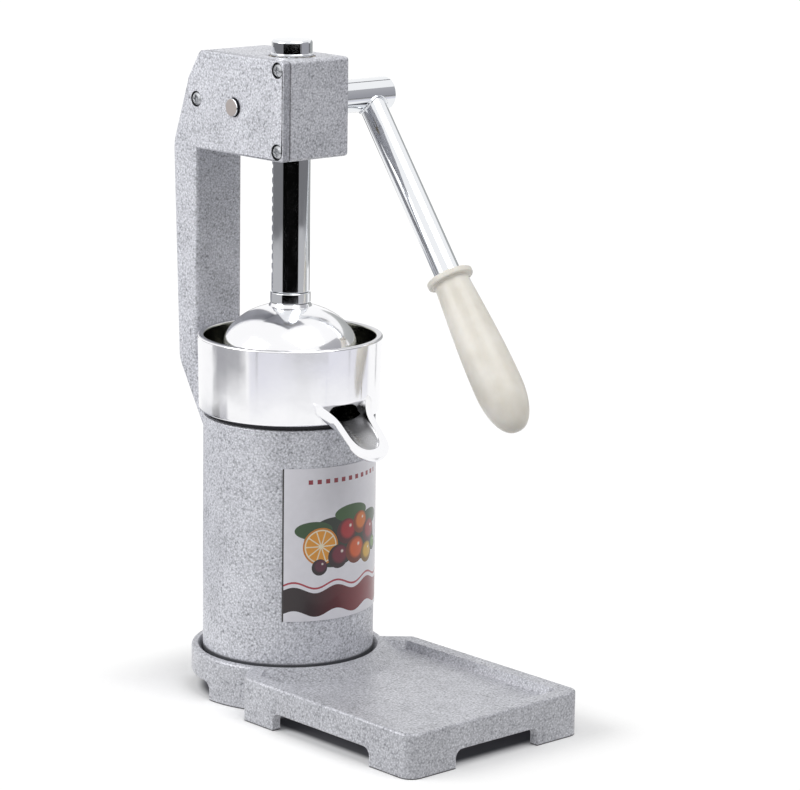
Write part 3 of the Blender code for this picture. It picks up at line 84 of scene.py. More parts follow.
def add_node(tree, kind, settings=None, *values, **inputs):
    """Adds a shader node with its settings and links. Settings are the choice in its first menu, or a dict
    of its fields, where steps are a colour ramp's (place, hex colour) pairs."""
    made = tree.nodes.new("ShaderNode" + kind)
    if isinstance(settings, str):
        settings = {first_menu[kind]: settings}
    for field, setting in (settings or {}).items():
        if field != "steps":
            setattr(made, field, setting)
            continue
        elements = made.color_ramp.elements
        while len(elements) < len(setting):
            elements.new(0.5)
        for element, (place, colour) in zip(elements, setting):
            element.position = place
            element.color = linear(colour)
    return fill(made, *values, **inputs)


def new_material(name, kind="BsdfPrincipled"):
    """A node material, the function that adds nodes to it, its shader and its Object coordinates."""
    material = bpy.data.materials.new(name)
    material.use_nodes = True
    material.node_tree.nodes.clear()
    node = partial(add_node, material.node_tree)
    shader = node(kind)
    node("OutputMaterial", Surface=shader)
    return material, node, shader, node("TexCoord").outputs["Object"]


def hammer_enamel(name, steps):
    """Silver hammer enamel: cells with dark creases, a finer grain of aluminium flake and broad clouding."""
    material, node, shader, place = new_material(name)
    cell_mm = 1.45
    drift = node("TexNoise", Vector=place, Scale=per_mm(cell_mm * 2.5))
    centred = node("VectorMath", "SUBTRACT", drift.outputs["Color"], (0.5, 0.5, 0.5))
    moved = node("VectorMath", "MULTIPLY_ADD", centred, (cell_mm * mm,) * 3, place)
    cells = node("TexVoronoi", "SMOOTH_F1", moved, Scale=per_mm(cell_mm), Smoothness=0.35)
    flake = node("TexNoise", Vector=place, Scale=per_mm(cell_mm * 0.8), Detail=3.0, Roughness=0.65)
    cloud = node("TexNoise", Vector=place, Scale=per_mm(cell_mm * 14))
    crease = node("Math", "MULTIPLY_ADD", cells, 0.55, flake)
    clouded = node("Math", "MULTIPLY_ADD", cloud, 0.25, crease)
    paint = node("ValToRGB", {"steps": steps}, node("MapRange", "LINEAR", clouded, 0.58, 1.26))
    sheen = node("MapRange", "LINEAR", flake, 0.3, 0.7, 0.3, 0.5)
    relief = node("Bump", {"invert": True}, Strength=0.5, Distance=0.12 * mm, Height=crease)
    fill(shader, Base_Color=paint, Roughness=sheen, Metallic=0.25, Normal=relief)
    return material


def where(node, *parts):
    """A mask that is 1 where all its parts are. A part is another mask, or a soft edge: a value, the number
    at which the mask is 0 and the number at which it is 1."""
    masks = [node("MapRange", "SMOOTHSTEP", *part) if isinstance(part, tuple) else part for part in parts]
    return reduce(partial(node, "Math", "MULTIPLY"), masks)


def layered(node, under, *layers):
    """Colours laid over one another. Each layer is a colour and the parts of its mask."""
    for colour, *parts in layers:
        under = node("Mix", "RGBA", where(node, *parts), under, colour)
    return under


def reopened(material):
    """What it takes to add to a finished material: its node function, its shader and its coordinates."""
    node = partial(add_node, material.node_tree)
    return node, material.node_tree.nodes["Principled BSDF"], node("TexCoord").outputs


def feeding(shader, name):
    """The output that is linked into a shader's socket."""
    return shader.inputs[name].links[0].from_socket


def shade_painted_over(material, shade_colour, *edges):
    """Lays a painted shade of a second colour over a material's paint, inside soft edges. Each is an axis,
    the place where the shade starts and that where it is full."""
    node, shader, source = reopened(material)
    split = node("SeparateXYZ", Vector=source["Object"]).outputs
    parts = [(split[axis], covered, shaded_part) for axis, covered, shaded_part in edges]
    fill(shader, Base_Color=layered(node, feeding(shader, "Base Color"), (shade_colour, *parts)))
    return material


def reworked(mesh, *jobs):
    """Runs mesh jobs on a mesh, one after the other."""
    surface = bmesh.new()
    surface.from_mesh(mesh)
    for job in jobs:
        job(surface)
    surface.to_mesh(mesh)
    surface.free()
    return mesh


def faces_outward(surface):
    """Turns all faces of a closed surface outward."""
    bmesh.ops.recalc_face_normals(surface, faces=surface.faces)


def smooth_edges(piece, angle=radians(35)):
    """Shades round areas smooth and keeps flat ones flat."""
    piece.data.shade_smooth()
    piece.data.set_sharp_from_angle(angle=angle)
    piece.modifiers.new("flat areas", "WEIGHTED_NORMAL").keep_sharp = True


def rounded_edges(piece, width_mm, angle):
    """Rounds the edges that are sharper than an angle."""
    edges = piece.modifiers.new("rounded edges", "BEVEL")
    edges.width = width_mm * mm
    edges.segments = 3
    edges.limit_method = "ANGLE"
    edges.angle_limit = angle


def loose(name, mesh):
    """A mesh, lamp or camera linked as an object."""
    thing = bpy.data.objects.new(name, mesh)
    bpy.context.scene.collection.objects.link(thing)
    return thing


def add_piece(name, mesh, material, body, slot, *solids):
    """Links a finished mesh as a piece that rides on a body and stands for CAD nodes."""
    piece = loose(name, mesh)
    mesh.materials.clear()
    mesh.materials.append(material)
    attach(piece, body)
    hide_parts(*solids)
    return piece


def cast_piece(name, material, body, slot, solid, edge_mm):
    """A piece with its solid's own surface: the loose triangles are joined, each flat area is made one face,
    and the sharp edges are broken by a small round."""
    mesh = reworked(
        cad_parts[solid].data.copy(),
        lambda surface: bmesh.ops.remove_doubles(surface, verts=surface.verts, dist=2e-6),
        lambda surface: bmesh.ops.dissolve_limit(surface, angle_limit=radians(0.4), verts=surface.verts,
                                                 edges=surface.edges),
    )
    piece = add_piece(name, mesh, material, body, slot, solid)
    rounded_edges(piece, edge_mm, radians(50))
    smooth_edges(piece)


# The lowest millimetre of the feet is painted dark: a painted contact shadow where they stand on the floor.
# A darker copy of the silver enamel's colours: painted shade, because less light falls on the base than on
# the head.
silver_in_painted_shade = [(0.0, "#dcdde3"), (0.3, "#c3c4ca"), (0.55, "#b0b1b7"), (0.8, "#97989e"), (1.0, "#76777c")]
base_enamel = shade_painted_over(hammer_enamel("silver_hammer_enamel_on_base", silver_in_painted_shade), "#48484b",
                           ("Z", 1.1 * mm, 0.5 * mm))
cast_piece("base", base_enamel, "frame", "hammertone", "base_casting", 0.7)


# Column: welded steel tube in the base's socket
# Steel tube of 114.3 mm, sawn square and painted with the same hammer enamel. It stands in the
# socket, where a foot plate and three bolts under the base hold it.

def rounded_profile(corners, steps=6):
    """A path of (radius, height) corners, each with a third number where an arc of that radius turns it."""
    points = []
    for i, corner in enumerate(corners):
        here = np.array(corner[:2])
        if len(corner) < 3:
            points.append(here)
            continue
        before = np.array(corners[i - 1][:2]) - here
        after = np.array(corners[(i + 1) % len(corners)][:2]) - here
        before /= np.linalg.norm(before)
        after /= np.linalg.norm(after)
        half = np.arccos(np.clip(before @ after, -1, 1)) / 2
        middle = (before + after) / np.linalg.norm(before + after)
        centre = here + middle * corner[2] / sin(half)
        start = here + before * corner[2] / tan(half) - centre
        end = here + after * corner[2] / tan(half) - centre
        share = np.linspace(0, 1, steps + 1)[:, None]
        sweep = pi - 2 * half
        turning = start * np.sin((1 - share) * sweep) + end * np.sin(share * sweep)
        points += list(centre + turning / sin(sweep))
    return np.array(points)


def closed_mesh(name, rows):
    """A mesh from rows of points that go round: rows x columns x 3. A row at one place is a pole."""
    count, around = rows.shape[:2]
    index = np.arange(count * around).reshape(count, around)
    across = np.roll(index, -1, axis=1)
    quads = np.stack([index[:-1], across[:-1], across[1:], index[1:]], axis=-1).reshape(-1, 4)
    mesh = bpy.data.meshes.new(name)
    mesh.from_pydata(rows.reshape(-1, 3), [], quads)
    return reworked(
        mesh,
        lambda surface: bmesh.ops.remove_doubles(surface, verts=surface.verts, dist=1e-6),
        lambda surface: bmesh.ops.dissolve_degenerate(surface, edges=surface.edges, dist=1e-7),
        faces_outward,
    )


def polar(radius, height, angles):
    """Points (r cos t, r sin t, h) from radii, heights and angles."""
    return np.stack(np.broadcast_arrays(radius * np.cos(angles), radius * np.sin(angles), height), axis=-1)


def placed(rows, place):
    """Points turned and moved by a matrix."""
    return rows @ np.array(place.to_3x3()).T + np.array(place.translation)


def turned(name, corners, place, around=128, closed=False):
    """A surface of revolution: point (r, h) of the profile goes to (r cos t, r sin t, h) at every angle t. A
    tube's profile is closed: it ends where it starts."""
    profile = rounded_profile(corners)
    if closed:
        profile = np.vstack([profile, profile[:1]])
    angles = np.linspace(0, 2 * pi, around, endpoint=False)
    return closed_mesh(name, placed(polar(profile[:, :1], profile[:, 1:], angles), place))


touch_gap = 0.0003       # what the solids leave between two pieces that touch
tube_low, tube_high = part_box("column_tube")
stand_axis = Vector(((tube_low.x + tube_high.x) / 2, (tube_low.y + tube_high.y) / 2, 0))
tube_radius = (tube_high.x - tube_low.x) / 2
tube_bore = tube_radius - 0.0045
upright = Matrix.Translation(stand_axis)
socket_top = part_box("base_casting")[1].z

# The tube enters the socket in a thin dark line that fades up the tube: painted shade in the corner between
# tube and socket.
silver = [(0.0, "#eceef3"), (0.3, "#d3d4db"), (0.55, "#bebfc6"), (0.8, "#9ea0a6"), (1.0, "#75767b")]
column_enamel = shade_painted_over(hammer_enamel("silver_hammer_enamel_on_column", silver), "#4c4d51",
                             ("Z", socket_top + 2.2 * mm, socket_top + 0.2 * mm))
smooth_edges(add_piece("column", turned("column", [
    (tube_bore, tube_low.z), (tube_radius, tube_low.z), (tube_radius, tube_high.z, 0.0008),
    (tube_bore, tube_high.z, 0.0004),
], upright, 192, True), column_enamel, "frame", "hammertone", "column_tube"))


# Print on the column's front
# White vinyl film stuck round the front of the tube, with a plain fruit print: a citrus slice and
# round fruit on dark leaves over a wavy dark red field. It is a little glossier than the paint.

film_low, film_high = [corner.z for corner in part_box("column_label")]
film_inner = tube_radius + touch_gap
film_outer = tube_radius + 0.0007
half_angle = radians(44.6)


def film_mesh(steps=96):
    """A curved plate: angles across, two heights, an outer and an inner skin, with UV over the outer one in
    mm from the middle of its lower edge."""
    angles = np.linspace(-half_angle, half_angle, steps) - pi / 2
    ring = np.concatenate([angles, angles[::-1]])
    radius = np.repeat([film_outer, film_inner], steps)
    rows = np.stack([polar(radius, z, ring) for z in (film_low, film_high)]) + np.array(stand_axis)
    mesh = reworked(closed_mesh("print_film", rows),
                    lambda surface: bmesh.ops.holes_fill(surface, edges=surface.edges), faces_outward)
    place = np.zeros((len(mesh.vertices), 3))
    mesh.vertices.foreach_get("co", place.ravel())
    angle = np.arctan2(place[:, 1] - stand_axis.y, place[:, 0] - stand_axis.x) + pi / 2
    flat = np.stack([angle * film_outer, place[:, 2] - film_low], axis=-1) / mm
    corner = np.zeros(len(mesh.loops), dtype=int)
    mesh.loops.foreach_get("vertex_index", corner)
    mesh.uv_layers.new(name="print").data.foreach_set("uv", flat[corner].ravel())
    return mesh


def diagonal(node, across, up):
    """The length of a line that goes so far across and so far up."""
    square = node("Math", "MULTIPLY_ADD", across, across, node("Math", "MULTIPLY", up, up))
    return node("Math", "SQRT", square)


shaded = {"data_type": "RGBA", "blend_type": "MULTIPLY"}


def film_print():
    """The print, drawn on the film's UV in mm: u from its middle, v up from its lower edge."""
    material, node, shader, place = new_material("printed_vinyl_film")
    u, v, _ = node("SeparateXYZ", Vector=node("UVMap", {"uv_map": "print"})).outputs

    def within(value, low, high):
        """1 between two numbers."""
        return where(node, node("Math", "GREATER_THAN", value, low), node("Math", "LESS_THAN", value, high))

    def away(x, y, stretch=1.0):
        """Distance from a point of the print, with the height measured longer by a stretch."""
        up = node("Math", "MULTIPLY", node("Math", "SUBTRACT", v, y), stretch)
        return diagonal(node, node("Math", "SUBTRACT", u, x), up)

    # A wavy dark red field along the foot, nearly black at its left end, with a thin line over it.
    ripple = node("Math", "SINE", node("Math", "MULTIPLY", u, 0.21))
    wave = node("Math", "MULTIPLY_ADD", ripple, 2.2, v)
    red = layered(node, "#1b0a10", ("#7c1424", (u, -34.0, 26.0)))
    drawn = layered(node, "#e4e3ea", (red, within(wave, 5.0, 21.0)), ("#a83a48", within(wave, 23.5, 24.8)))

    # A dark heap of leaves, with a citrus slice leaning on it: rind, pith, and segments with gaps.
    for x, y, stretch, radius, colour in (
        (-9, 52, 1.3, 22, "#18241a"), (14, 50, 1.5, 20, "#1d2b1c"), (-24, 61, 2.2, 13, "#2c4a28"),
        (6, 70, 2.6, 15, "#33552a"), (26, 63, 2.1, 12, "#274423"),
    ):
        drawn = layered(node, drawn, (colour, node("Math", "LESS_THAN", away(x, y, stretch), radius)))
    slice_x, slice_y, segments = -19.0, 50.0, 10
    far = away(slice_x, slice_y)
    turn = node("Math", "ARCTAN2", node("Math", "SUBTRACT", v, slice_y), node("Math", "SUBTRACT", u, slice_x))
    in_segments = node("Math", "MULTIPLY", node("Math", "ADD", turn, pi), segments / (2 * pi))
    share = node("Math", "FRACT", in_segments)
    nearest = node("Math", "MINIMUM", share, node("Math", "SUBTRACT", 1.0, share))
    from_gap = node("Math", "MULTIPLY", nearest, node("Math", "MULTIPLY", far, 2 * pi / segments))
    drawn = layered(node, drawn, ("#c87a1e", node("Math", "LESS_THAN", far, 12.5)),
                    ("#eadfc4", node("Math", "LESS_THAN", far, 11.3)),
                    ("#dd952f", within(far, 1.6, 10.4), node("Math", "GREATER_THAN", from_gap, 0.4)))

    # Round fruit: a dark disc, a paler one a little to the upper right, and a small gleam.
    for x, y, radius, dark, pale in (
        (1, 58, 8.5, "#4a0f16", "#a3242a"), (14, 62, 7.5, "#7a3310", "#d0701f"),
        (25, 54, 8.0, "#4a1014", "#96222a"), (-6, 42, 8.0, "#241018", "#6b1b30"),
        (9, 44, 9.0, "#6b2a12", "#cf5a24"), (22, 40, 7.0, "#7a5a14", "#d6a935"),
        (-20, 36, 5.5, "#1d0f16", "#4f1730"), (32, 44, 5.0, "#20301a", "#5f8a35"),
    ):
        drawn = layered(node, drawn, (dark, node("Math", "LESS_THAN", away(x, y), radius)),
                        (pale, (away(x + radius * 0.12, y + radius * 0.16), radius * 0.9, radius * 0.55)),
                        ("#f6efe6", (away(x + radius * 0.35, y + radius * 0.4), radius * 0.2, 0.0)))

    # A row of small squares over the picture, and a thin dark line down each end of the film.
    step = node("Math", "FRACT", node("Math", "MULTIPLY", node("Math", "ADD", u, 40.0), 1 / 6))
    drawn = layered(node, drawn, ("#8e2b38", within(v, 92.0, 95.0), node("Math", "LESS_THAN", step, 0.5),
                                  within(u, -30.0, 34.0)))
    grain = node("TexNoise", Vector=place, Scale=per_mm(6), Detail=3.0)
    faded = node("Mix", shaded, 0.12, drawn, grain)
    ends = node("Math", "GREATER_THAN", node("Math", "ABSOLUTE", u), 44.0)
    sheen = node("MapRange", "LINEAR", grain, 0.0, 1.0, 0.25, 0.4)
    fill(shader, Base_Color=layered(node, faded, ("#2a2628", ends)), Roughness=sheen, Coat_Weight=0.3)
    return material


smooth_edges(add_piece("print_film", film_mesh(), film_print(), "frame", "label", "column_label"))


# Frame casting: gearbox head, arm and saddle, with the gearbox cover
# One aluminium casting that holds the ram over the bowl, and the plate screwed over its left side.
# Both have the base's enamel; the screws are zinc-plated steel.

cover_low, cover_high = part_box("gearbox_cover")
cover_screws = ("cover_screw_front_top", "cover_screw_front_bottom", "cover_screw_rear")

# A dark line runs along the plate's rear edge: painted shade on the casting, in the corner beside the plate.
casting_enamel = shade_painted_over(
    hammer_enamel("silver_hammer_enamel", silver), "#77787c",
    ("Y", cover_high.y - 0.2 * mm, cover_high.y), ("Y", cover_high.y + 1.5 * mm, cover_high.y + 0.7 * mm),
    ("Z", cover_low.z, cover_low.z + 4 * mm), ("Z", cover_high.z - 28 * mm, cover_high.z - 32 * mm),
)
cast_piece("frame_arm_and_head", casting_enamel, "frame", "hammertone", "frame_casting", 0.6)


def plate_enamel(name):
    """The same enamel with what a loose plate adds: thin rough paint round its edge, and painted shade,
    nearly black, in the joint to the head and in the three screw recesses."""
    material = hammer_enamel(name, silver)
    node, shader, source = reopened(material)
    side = node("Math", "ABSOLUTE", node("SeparateXYZ", Vector=source["Normal"]).outputs["X"])
    thin = node("Mix", shaded, where(node, (side, 0.75, 0.35)), feeding(shader, "Base Color"), "#dadadc")
    x, y, z = node("SeparateXYZ", Vector=source["Object"]).outputs
    # Painted shade, nearly black, in the joint to the head and round each screw's recess.
    shaded_part = where(node, (x, cover_high.x - 0.9 * mm, cover_high.x - 0.5 * mm))
    for screw in cover_screws:
        low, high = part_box(screw)
        away = diagonal(node, node("Math", "SUBTRACT", y, (low.y + high.y) / 2),
                        node("Math", "SUBTRACT", z, (low.z + high.z) / 2))
        shaded_part = node("Math", "MAXIMUM", shaded_part, where(node, (away, 5.35 * mm, 5.15 * mm)))
    fill(shader, Base_Color=layered(node, thin, ("#2c2d31", shaded_part)))
    return material


cast_piece("gearbox_plate", plate_enamel("silver_hammer_enamel_on_plate"), "frame", "hammertone",
           "gearbox_cover", 0.4)


def plated_steel(name, colour, low, high):
    """Zinc-plated or bright steel: grey metal with a faint cloudy sheen from the bath."""
    material, node, shader, place = new_material(name)
    cloud = node("TexNoise", Vector=place, Scale=per_mm(2.5), Detail=4.0)
    fill(shader, Base_Color=node("Mix", shaded, 0.25, colour, cloud), Metallic=1.0,
         Roughness=node("MapRange", "LINEAR", cloud, 0.3, 0.7, low, high))
    return material


zinc = plated_steel("zinc_plated_steel", "#c9cbcf", 0.22, 0.4)
for fastener in (*cover_screws, "arm_bolt_upper", "arm_bolt_lower", "arm_backing_plate",
                 *(f"base_bolt_{i}" for i in (1, 2, 3)), "column_foot_plate"):
    cast_piece(fastener + "_plated", zinc, "frame", "steel", fastener, 0.15)

bearing_bronze = plated_steel("bearing_bronze", "#a29a8c", 0.3, 0.5)
for sleeve in ("lower_guide_bush", "upper_guide_bush", "shaft_bush"):
    cast_piece(sleeve + "_bronze", bearing_bronze, "frame", "bronze", sleeve, 0.1)


# Bowl with its spout
# Sand-cast aluminium, turned inside and out and polished to a mirror on the column's rim. The spout is
# cast on and polished by hand, so its lips are rounder.

def polished_aluminium(name, turning_mm):
    """Bright aluminium: a mirror with faint turning rings about the bowl's axis and soft polishing clouds."""
    material, node, shader, place = new_material(name)
    centred = node("Mapping", Vector=place, Location=(-stand_axis.x, -stand_axis.y, 0))
    height = node("SeparateXYZ", Vector=centred).outputs["Z"]
    along = node("Math", "ADD", node("VectorMath", "LENGTH", centred), height)
    rings = node("TexNoise", "1D", along, Scale=per_mm(turning_mm))
    cloud = node("TexNoise", Vector=place, Scale=per_mm(14), Detail=3.0)
    relief = node("Bump", Strength=0.05, Distance=0.02 * mm, Height=rings)
    wave = node("Bump", Strength=0.12, Distance=0.25 * mm, Height=cloud, Normal=relief)
    fill(shader, Base_Color="#f4f4f6", Metallic=1.0, Normal=wave,
         Roughness=node("MapRange", "LINEAR", cloud, 0.3, 0.7, 0.07, 0.16))
    return material


def combined(piece, tool, operation):
    """Cuts a piece with a tool, or joins them, and removes the tool."""
    step = piece.modifiers.new("combined", "BOOLEAN")
    step.operation = operation
    step.solver = "EXACT"
    step.object = tool
    bpy.context.view_layer.update()
    ready = piece.evaluated_get(bpy.context.evaluated_depsgraph_get())
    mesh = bpy.data.meshes.new_from_object(ready)
    piece.modifiers.clear()
    piece.data = mesh
    bpy.data.objects.remove(tool, do_unlink=True)
    return piece


bowl_seat = tube_high.z + touch_gap
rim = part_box("bowl")[1].z
bowl_radius = tube_radius + 0.00405
bowl_bore = bowl_radius - 0.0044
bowl_floor = bowl_seat + 0.0052
strainer_ledge = bowl_floor + 0.011
ledge_bore = bowl_bore - 0.003
spigot = tube_bore - touch_gap
spigot_bore = spigot - 0.004
spigot_foot = bowl_seat - 0.0055
seat_radius = tube_radius - 0.0025
undercut = 0.003

bowl_finish = polished_aluminium("polished_cast_aluminium", 0.5)
bowl = add_piece("bowl_polished", turned("bowl", [
    (0, bowl_seat - 0.0003), (spigot_bore, bowl_seat - 0.0003, 0.0008), (spigot_bore, spigot_foot),
    (spigot, spigot_foot), (spigot, bowl_seat), (seat_radius, bowl_seat),
    (seat_radius, bowl_seat + undercut), (bowl_radius - 0.0012, bowl_seat + undercut, 0.0016),
    (bowl_radius, rim, 0.0013), (bowl_bore, rim, 0.0015), (bowl_bore, strainer_ledge),
    (ledge_bore, strainer_ledge, 0.0004), (ledge_bore, bowl_floor, 0.003), (0, bowl_floor),
], upright, 192), bowl_finish, "frame", "polished", "bowl")

spout_reach = 0.0334
spout_slope = tan(radians(39))
spout_angle = radians(4)
spout_turn = Matrix.Translation(stand_axis) @ Matrix.Rotation(-spout_angle, 4, "Z")
spout_lip = bowl_seat + 0.0145
flare_width, flare_length, flare_start = 0.0044, 0.011, -0.0016
tip_length = 0.012
channel_wall = 0.005


def trough(name, margin, start, raised, stations=36, across=40):
    """A half-round trough, turned a little to the left: at distance s from the bowl's side its section is a
    half ellipse under a straight top. Its width adds flare_width (1 - s / flare_length)^2 where it flares out
    of the bowl, and closes over the last tip_length so that the tip is round in plan."""
    reach = spout_reach - margin
    along = start + (reach - start) * np.sin(np.linspace(0, pi / 2, stations))
    share = np.maximum(0, along) / spout_reach
    into_tip = np.clip((along - reach + tip_length) / tip_length, 0, 0.999)
    flare = flare_width * (1 - np.clip(along, flare_start, flare_length) / flare_length) ** 2
    full = 0.017 - 0.002 * share - margin + flare
    width = full * (1 - into_tip ** 2.6) ** (1 / 2.6)
    lip = spout_lip - along * spout_slope + raised
    depth = (0.0135 * (1 - 0.6 * share) - margin * 0.8) * (0.45 + 0.55 * width / full)
    angle = np.linspace(pi, 2 * pi, across)
    under = np.stack([width[:, None] * np.cos(angle), -(bowl_radius + along)[:, None] + 0 * angle,
                      lip[:, None] + depth[:, None] * np.sin(angle)], axis=-1)
    ends = under[[0, -1]].mean(axis=1, keepdims=True) + 0 * under[:1]
    return loose(name, closed_mesh(name, placed(np.concatenate([ends[:1], under, ends[1:]]), spout_turn)))


def arch_cutter(name, half_width, low, top, back, front):
    """A round-cornered doorway in the X-Z plane, carried along Y."""
    outline = rounded_profile([(-half_width, low, 0.003), (half_width, low, 0.003),
                               (half_width, top, half_width * 0.5), (-half_width, top, half_width * 0.5)], 8)
    middle = np.repeat([[0, (low + top) / 2]], len(outline), axis=0)
    rows = np.stack([np.column_stack([section[:, 0], np.full(len(outline), y), section[:, 1]]) for section, y
                     in ((middle, front), (outline, front), (outline, back), (middle, back))])
    return loose(name, closed_mesh(name, placed(rows, spout_turn)))


core_radius = bowl_bore + 0.0015
plug = turned("core", [(0, 0.1), (core_radius, 0.1), (core_radius, 0.3), (0, 0.3)], upright, 192)
spout = combined(trough("spout", 0, -0.005, 0), loose("core", plug), "DIFFERENCE")
combined(bowl, spout, "UNION")
combined(bowl, trough("channel", channel_wall, -0.0026, 0.0006), "DIFFERENCE")
combined(bowl, arch_cutter("outlet", 0.012, bowl_floor, spout_lip + 0.0006, -(ledge_bore - 0.009),
                           -(bowl_radius + 0.0006)), "DIFFERENCE")


def paint_bowl_shade(material):
    """Paints shade on parts of the polished bowl: its inside and the top of its rim greyer, the groove under
    it nearly black, and the spout's channel dark, darkest at the outlet. The groove and the channel are also
    rougher."""
    node, shader, source = reopened(material)
    centred = node("VectorMath", "SUBTRACT", source["Object"], stand_axis)
    straight = node("VectorRotate", "Z_AXIS", centred, (0, 0, 0), spout_angle)
    x, y, z = node("SeparateXYZ", Vector=straight).outputs
    facing_up = node("SeparateXYZ", Vector=source["Normal"]).outputs["Z"]
    radius = diagonal(node, x, y)
    out = node("Math", "MULTIPLY_ADD", y, -1.0, -bowl_radius)
    lip = node("Math", "SUBTRACT", spout_lip, node("Math", "MULTIPLY", out, spout_slope))
    groove = where(node, (z, bowl_seat + undercut + 0.2 * mm, bowl_seat + undercut),
                   (radius, tube_radius + 2.4 * mm, tube_radius + 2.0 * mm))
    channel = where(node, (node("Math", "SUBTRACT", z, lip), -0.3 * mm, -0.9 * mm), (facing_up, -0.05, 0.05),
                    (node("Math", "ABSOLUTE", x), 17 * mm, 15.5 * mm), (out, -6.0 * mm, -5.0 * mm))
    depth = node("ValToRGB", {"steps": [(0.0, "#2a2a2c"), (0.5, "#5c5c5e"), (1.0, "#b4b4b6")]},
                 where(node, (out, -4 * mm, 26 * mm)))
    # Painted shade: the inside and the rim's top greyer, the groove nearly black, and the channel dark
    # towards the outlet.
    tone = layered(
        node, "#f4f4f6",
        ("#a4a49c", (radius, bowl_bore + 0.7 * mm, bowl_bore + 0.2 * mm),
         (z, bowl_floor - 0.5 * mm, bowl_floor - 0.2 * mm)),
        ("#c4c4c8", (z, rim - 0.8 * mm, rim - 0.3 * mm), (facing_up, 0.6, 0.9)),
        ("#38383b", groove), (depth, channel),
    )
    unpolished = node("Math", "MAXIMUM", groove, node("Math", "MULTIPLY", channel, 0.4))
    fill(shader, Base_Color=tone,
         Roughness=node("Mix", "FLOAT", unpolished, feeding(shader, "Roughness"), 0.5))


paint_bowl_shade(bowl_finish)
rounded_edges(bowl, 0.9, radians(55))
smooth_edges(bowl, radians(40))


# Strainer plate and reamer cone
# The plate is punched stainless sheet that lies on the bowl's ledge. The cone is cast aluminium
# with ten ribs; its hub passes through the plate to the bowl's floor.

cast_piece("strainer_punched", plated_steel("punched_stainless_sheet", "#d4d5d6", 0.18, 0.32), "frame",
           "steel", "strainer", 0.2)

cone_low, cone_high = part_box("reamer_cone")
cone_radius = 0.0360
hub_radius = 0.012
ribs = 10
strainer_thickness = 0.0015
cone_base = strainer_ledge + touch_gap + strainer_thickness + touch_gap
skirt_height = 0.0028


def ribbed_cone(name, around=200):
    """The cone: radius r(h) (1 + d(h) (2 |cos (ribs t / 2)|^1.5 - 1)) at angle t, so that the ribs are
    sharper than the hollows, with a round tip."""
    angles = np.linspace(0, 2 * pi, around, endpoint=False)
    rise = np.linspace(0, 1, 40)
    side = cone_radius * (0.9 - 0.78 * rise ** 1.4)
    rib = 0.055 * (1 - rise * 0.6)
    height = cone_base + 0.003 + (cone_high.z - cone_base - 0.003) * rise
    tip = np.linspace(0, pi / 2, 8)[1:]
    side = np.concatenate([[0, hub_radius, hub_radius, cone_radius, cone_radius], side,
                           side[-1] * np.cos(tip)])
    rib = np.concatenate([[0, 0, 0, 0, 0], rib, rib[-1] * np.cos(tip)])
    height = np.concatenate([[cone_low.z, cone_low.z, cone_base, cone_base, cone_base + skirt_height], height,
                             height[-1] + 0 * tip])
    wave = 2 * np.abs(np.cos(ribs / 2 * angles)) ** 1.5 - 1
    radius = side[:, None] * (1 + rib[:, None] * wave)
    return closed_mesh(name, polar(radius, height[:, None], angles) + np.array(stand_axis))


cone_finish = polished_aluminium("polished_cone_aluminium", 0.5)
smooth_edges(add_piece("cone_ribbed", ribbed_cone("cone_ribbed"), cone_finish, "frame", "polished",
                       "reamer_cone"))


# Press cup with its collar and screw
# Spun aluminium dome, polished like the bowl. A screw from inside and a chromed collar on top
# clamp it to the end of the ram.

cup_low, cup_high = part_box("press_cup")
collar_low, collar_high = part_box("cup_collar")
ram_low, ram_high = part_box("ram")
cup_radius = (cup_high.x - cup_low.x) / 2
cup_wall = 0.004
inner_radius = cup_radius - cup_wall
dome_height = 0.032
equator = cup_low.z + 0.0055
collar_radius = (collar_high.x - collar_low.x) / 2
spigot_hole = 0.0083
boss_bottom = equator + dome_height - cup_wall - 0.008


def dome(radius, height, low, high):
    """Points up the side of a half ellipse that stands on the cup's equator."""
    angles = np.linspace(low, high, 40)
    return np.stack([radius * np.cos(angles), equator + height * np.sin(angles)], axis=-1)


cup_profile = np.vstack([
    [[spigot_hole, boss_bottom], [spigot_hole, cup_high.z], [collar_radius, cup_high.z]],
    dome(cup_radius, dome_height, np.arccos(collar_radius * 1.08 / cup_radius), 0),
    rounded_profile([(cup_radius, equator), (cup_radius, cup_low.z, 0.0018),
                     (inner_radius, cup_low.z, 0.0018), (inner_radius, equator)])[1:-1],
    dome(inner_radius, dome_height - cup_wall, 0, np.arccos(collar_radius / inner_radius)),
    [[collar_radius, boss_bottom], [spigot_hole, boss_bottom]],
])
smooth_edges(add_piece("press_cup_polished", turned("press_cup", cup_profile, upright, 192),
                       polished_aluminium("polished_spun_aluminium", 0.35), "ram", "polished", "press_cup"),
             radians(30))


def chrome_plate(name):
    """Decorative chrome: a cool mirror, with faint wiping marks in its gloss."""
    material, node, shader, place = new_material(name)
    wiped = node("Mapping", Vector=place, Scale=(1.0, 1.0, 0.25))
    marks = node("TexNoise", Vector=wiped, Scale=per_mm(5), Detail=4.0)
    fill(shader, Base_Color="#e9ebee", Metallic=1.0,
         Roughness=node("MapRange", "LINEAR", marks, 0.3, 0.75, 0.03, 0.09))
    return material


chrome = chrome_plate("chrome_plate")
smooth_edges(add_piece("collar_chromed", turned("collar", [
    (spigot_hole, collar_low.z), (collar_radius, collar_low.z, 0.0004),
    (collar_radius, collar_high.z, 0.0006), (spigot_hole, collar_high.z),
], upright, closed=True), chrome, "ram", "chrome", "cup_collar"))
cast_piece("cup_screw_plated", zinc, "ram", "steel", "cup_screw", 0.15)


# Ram with its rack and cap
# Chromed steel bar. A rack of 2 mm module is milled into its rear side inside the gearbox,
# and a wider cap screwed into its top stops it at the bottom of its stroke.

